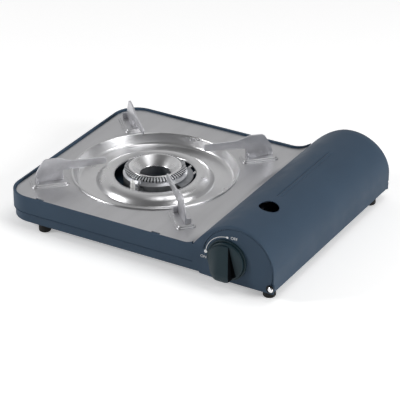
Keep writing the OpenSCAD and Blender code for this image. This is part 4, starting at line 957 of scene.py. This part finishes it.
fm = bpy.data.materials.new("floor_white")
fm.use_nodes = True
ft = fm.node_tree
fb = ft.nodes["Principled BSDF"]
fb.inputs["Base Color"].default_value = (0.95, 0.95, 0.95, 1)
fb.inputs["Roughness"].default_value = 0.9
fb.inputs["Specular IOR Level"].default_value = 0.1
fb.inputs["Emission Color"].default_value = (1, 1, 1, 1)
lpf = ft.nodes.new("ShaderNodeLightPath")
seen = lpf.outputs["Is Camera Ray"]
for kind in ("Is Glossy Ray", "Is Transmission Ray"):
    mx = ft.nodes.new("ShaderNodeMath")
    mx.operation = "MAXIMUM"
    ft.links.new(seen, mx.inputs[0])
    ft.links.new(lpf.outputs[kind], mx.inputs[1])
    seen = mx.outputs[0]
glow = ft.nodes.new("ShaderNodeMath")
glow.operation = "MULTIPLY"
glow.inputs[1].default_value = FLOOR_GLOW
ft.links.new(seen, glow.inputs[0])
ft.links.new(glow.outputs[0], fb.inputs["Emission Strength"])
me = bpy.data.meshes.new("floor")
s = FLOOR_HALF
me.from_pydata([(-s, -s, 0), (s, -s, 0), (s, s, 0), (-s, s, 0)], [], [(0, 1, 2, 3)])
floor = bpy.data.objects.new("floor", me)
me.materials.append(fm)
bpy.context.scene.collection.objects.link(floor)


# ---------- world and lights ----------

world = bpy.data.worlds.new("studio")
world.use_nodes = True
bpy.context.scene.world = world
wt = world.node_tree
bg = wt.nodes["Background"]
bg.inputs["Color"].default_value = (1, 1, 1, 1)
tcw = wt.nodes.new("ShaderNodeTexCoord")


def toward(direction, lo, hi, a, b):
    """Strength from a to b as a ray turns from lo to hi of the cosine to a direction."""
    d = wt.nodes.new("ShaderNodeVectorMath")
    d.operation = "DOT_PRODUCT"
    d.inputs[1].default_value = Vector(direction).normalized()
    wt.links.new(tcw.outputs["Generated"], d.inputs[0])
    m = wt.nodes.new("ShaderNodeMapRange")
    m.interpolation_type = "SMOOTHSTEP"
    m.inputs["From Min"].default_value = lo
    m.inputs["From Max"].default_value = hi
    m.inputs["To Min"].default_value = a
    m.inputs["To Max"].default_value = b
    wt.links.new(d.outputs["Value"], m.inputs["Value"])
    return m.outputs["Result"]


# The sky is darker in front, where the plate's and the bowl's dark reflections come from, and overhead;
# the camera itself sees plain white
rear = toward((-0.503, 0.864, 0.0), -0.25, 0.85, 0.12, 0.60)
roof = toward((0, 0, 1), 0.55, 0.95, 1.0, 0.6)
sky = wt.nodes.new("ShaderNodeMath")
sky.operation = "MULTIPLY"
wt.links.new(rear, sky.inputs[0])
wt.links.new(roof, sky.inputs[1])
lpw = wt.nodes.new("ShaderNodeLightPath")
mixw = wt.nodes.new("ShaderNodeMix")
mixw.data_type = "FLOAT"
wt.links.new(lpw.outputs["Is Camera Ray"], mixw.inputs["Factor"])
wt.links.new(sky.outputs[0], mixw.inputs["A"])
mixw.inputs["B"].default_value = 1.0
wt.links.new(mixw.outputs["Result"], bg.inputs["Strength"])


def area(name, loc, size, power):
    """A soft light turned towards the origin."""
    li = bpy.data.lights.new(name, "AREA")
    li.energy = power
    li.size = size
    ob = bpy.data.objects.new(name, li)
    bpy.context.scene.collection.objects.link(ob)
    ob.location = loc
    ob.rotation_euler = (Vector((0, 0, 0)) - Vector(loc)).to_track_quat("-Z", "Y").to_euler()


area("key", (-1.5, -1.2, 0.9), 0.5, 18)
area("fill", (1.75, -0.1, 0.8), 0.8, 18)
area("top", (0.5, 0.2, 2.0), 1.2, 10)


# ---------- camera, fitted to the photo ----------

AZIMUTH, ELEVATION, DISTANCE = math.radians(30.197), math.radians(28.002), 2.33249
TARGET = Vector((22.74 * MM, (-34.50 + 6.35) * MM, 35.0 * MM))
FOCAL_PX, IMAGE_PX, SENSOR = 2129.01, 400.0, 36.0

back = Vector((math.sin(AZIMUTH) * math.cos(ELEVATION), -math.cos(AZIMUTH) * math.cos(ELEVATION),
               math.sin(ELEVATION)))
cam_data = bpy.data.cameras.new("camera")
cam_data.lens = FOCAL_PX * SENSOR / IMAGE_PX
cam_data.sensor_width = SENSOR
cam = bpy.data.objects.new("camera", cam_data)
bpy.context.scene.collection.objects.link(cam)
cam.location = TARGET + back * DISTANCE
cam.rotation_euler = back.to_track_quat("Z", "Y").to_euler()
bpy.context.scene.camera = cam

bpy.context.scene.view_settings.view_transform = "Standard"
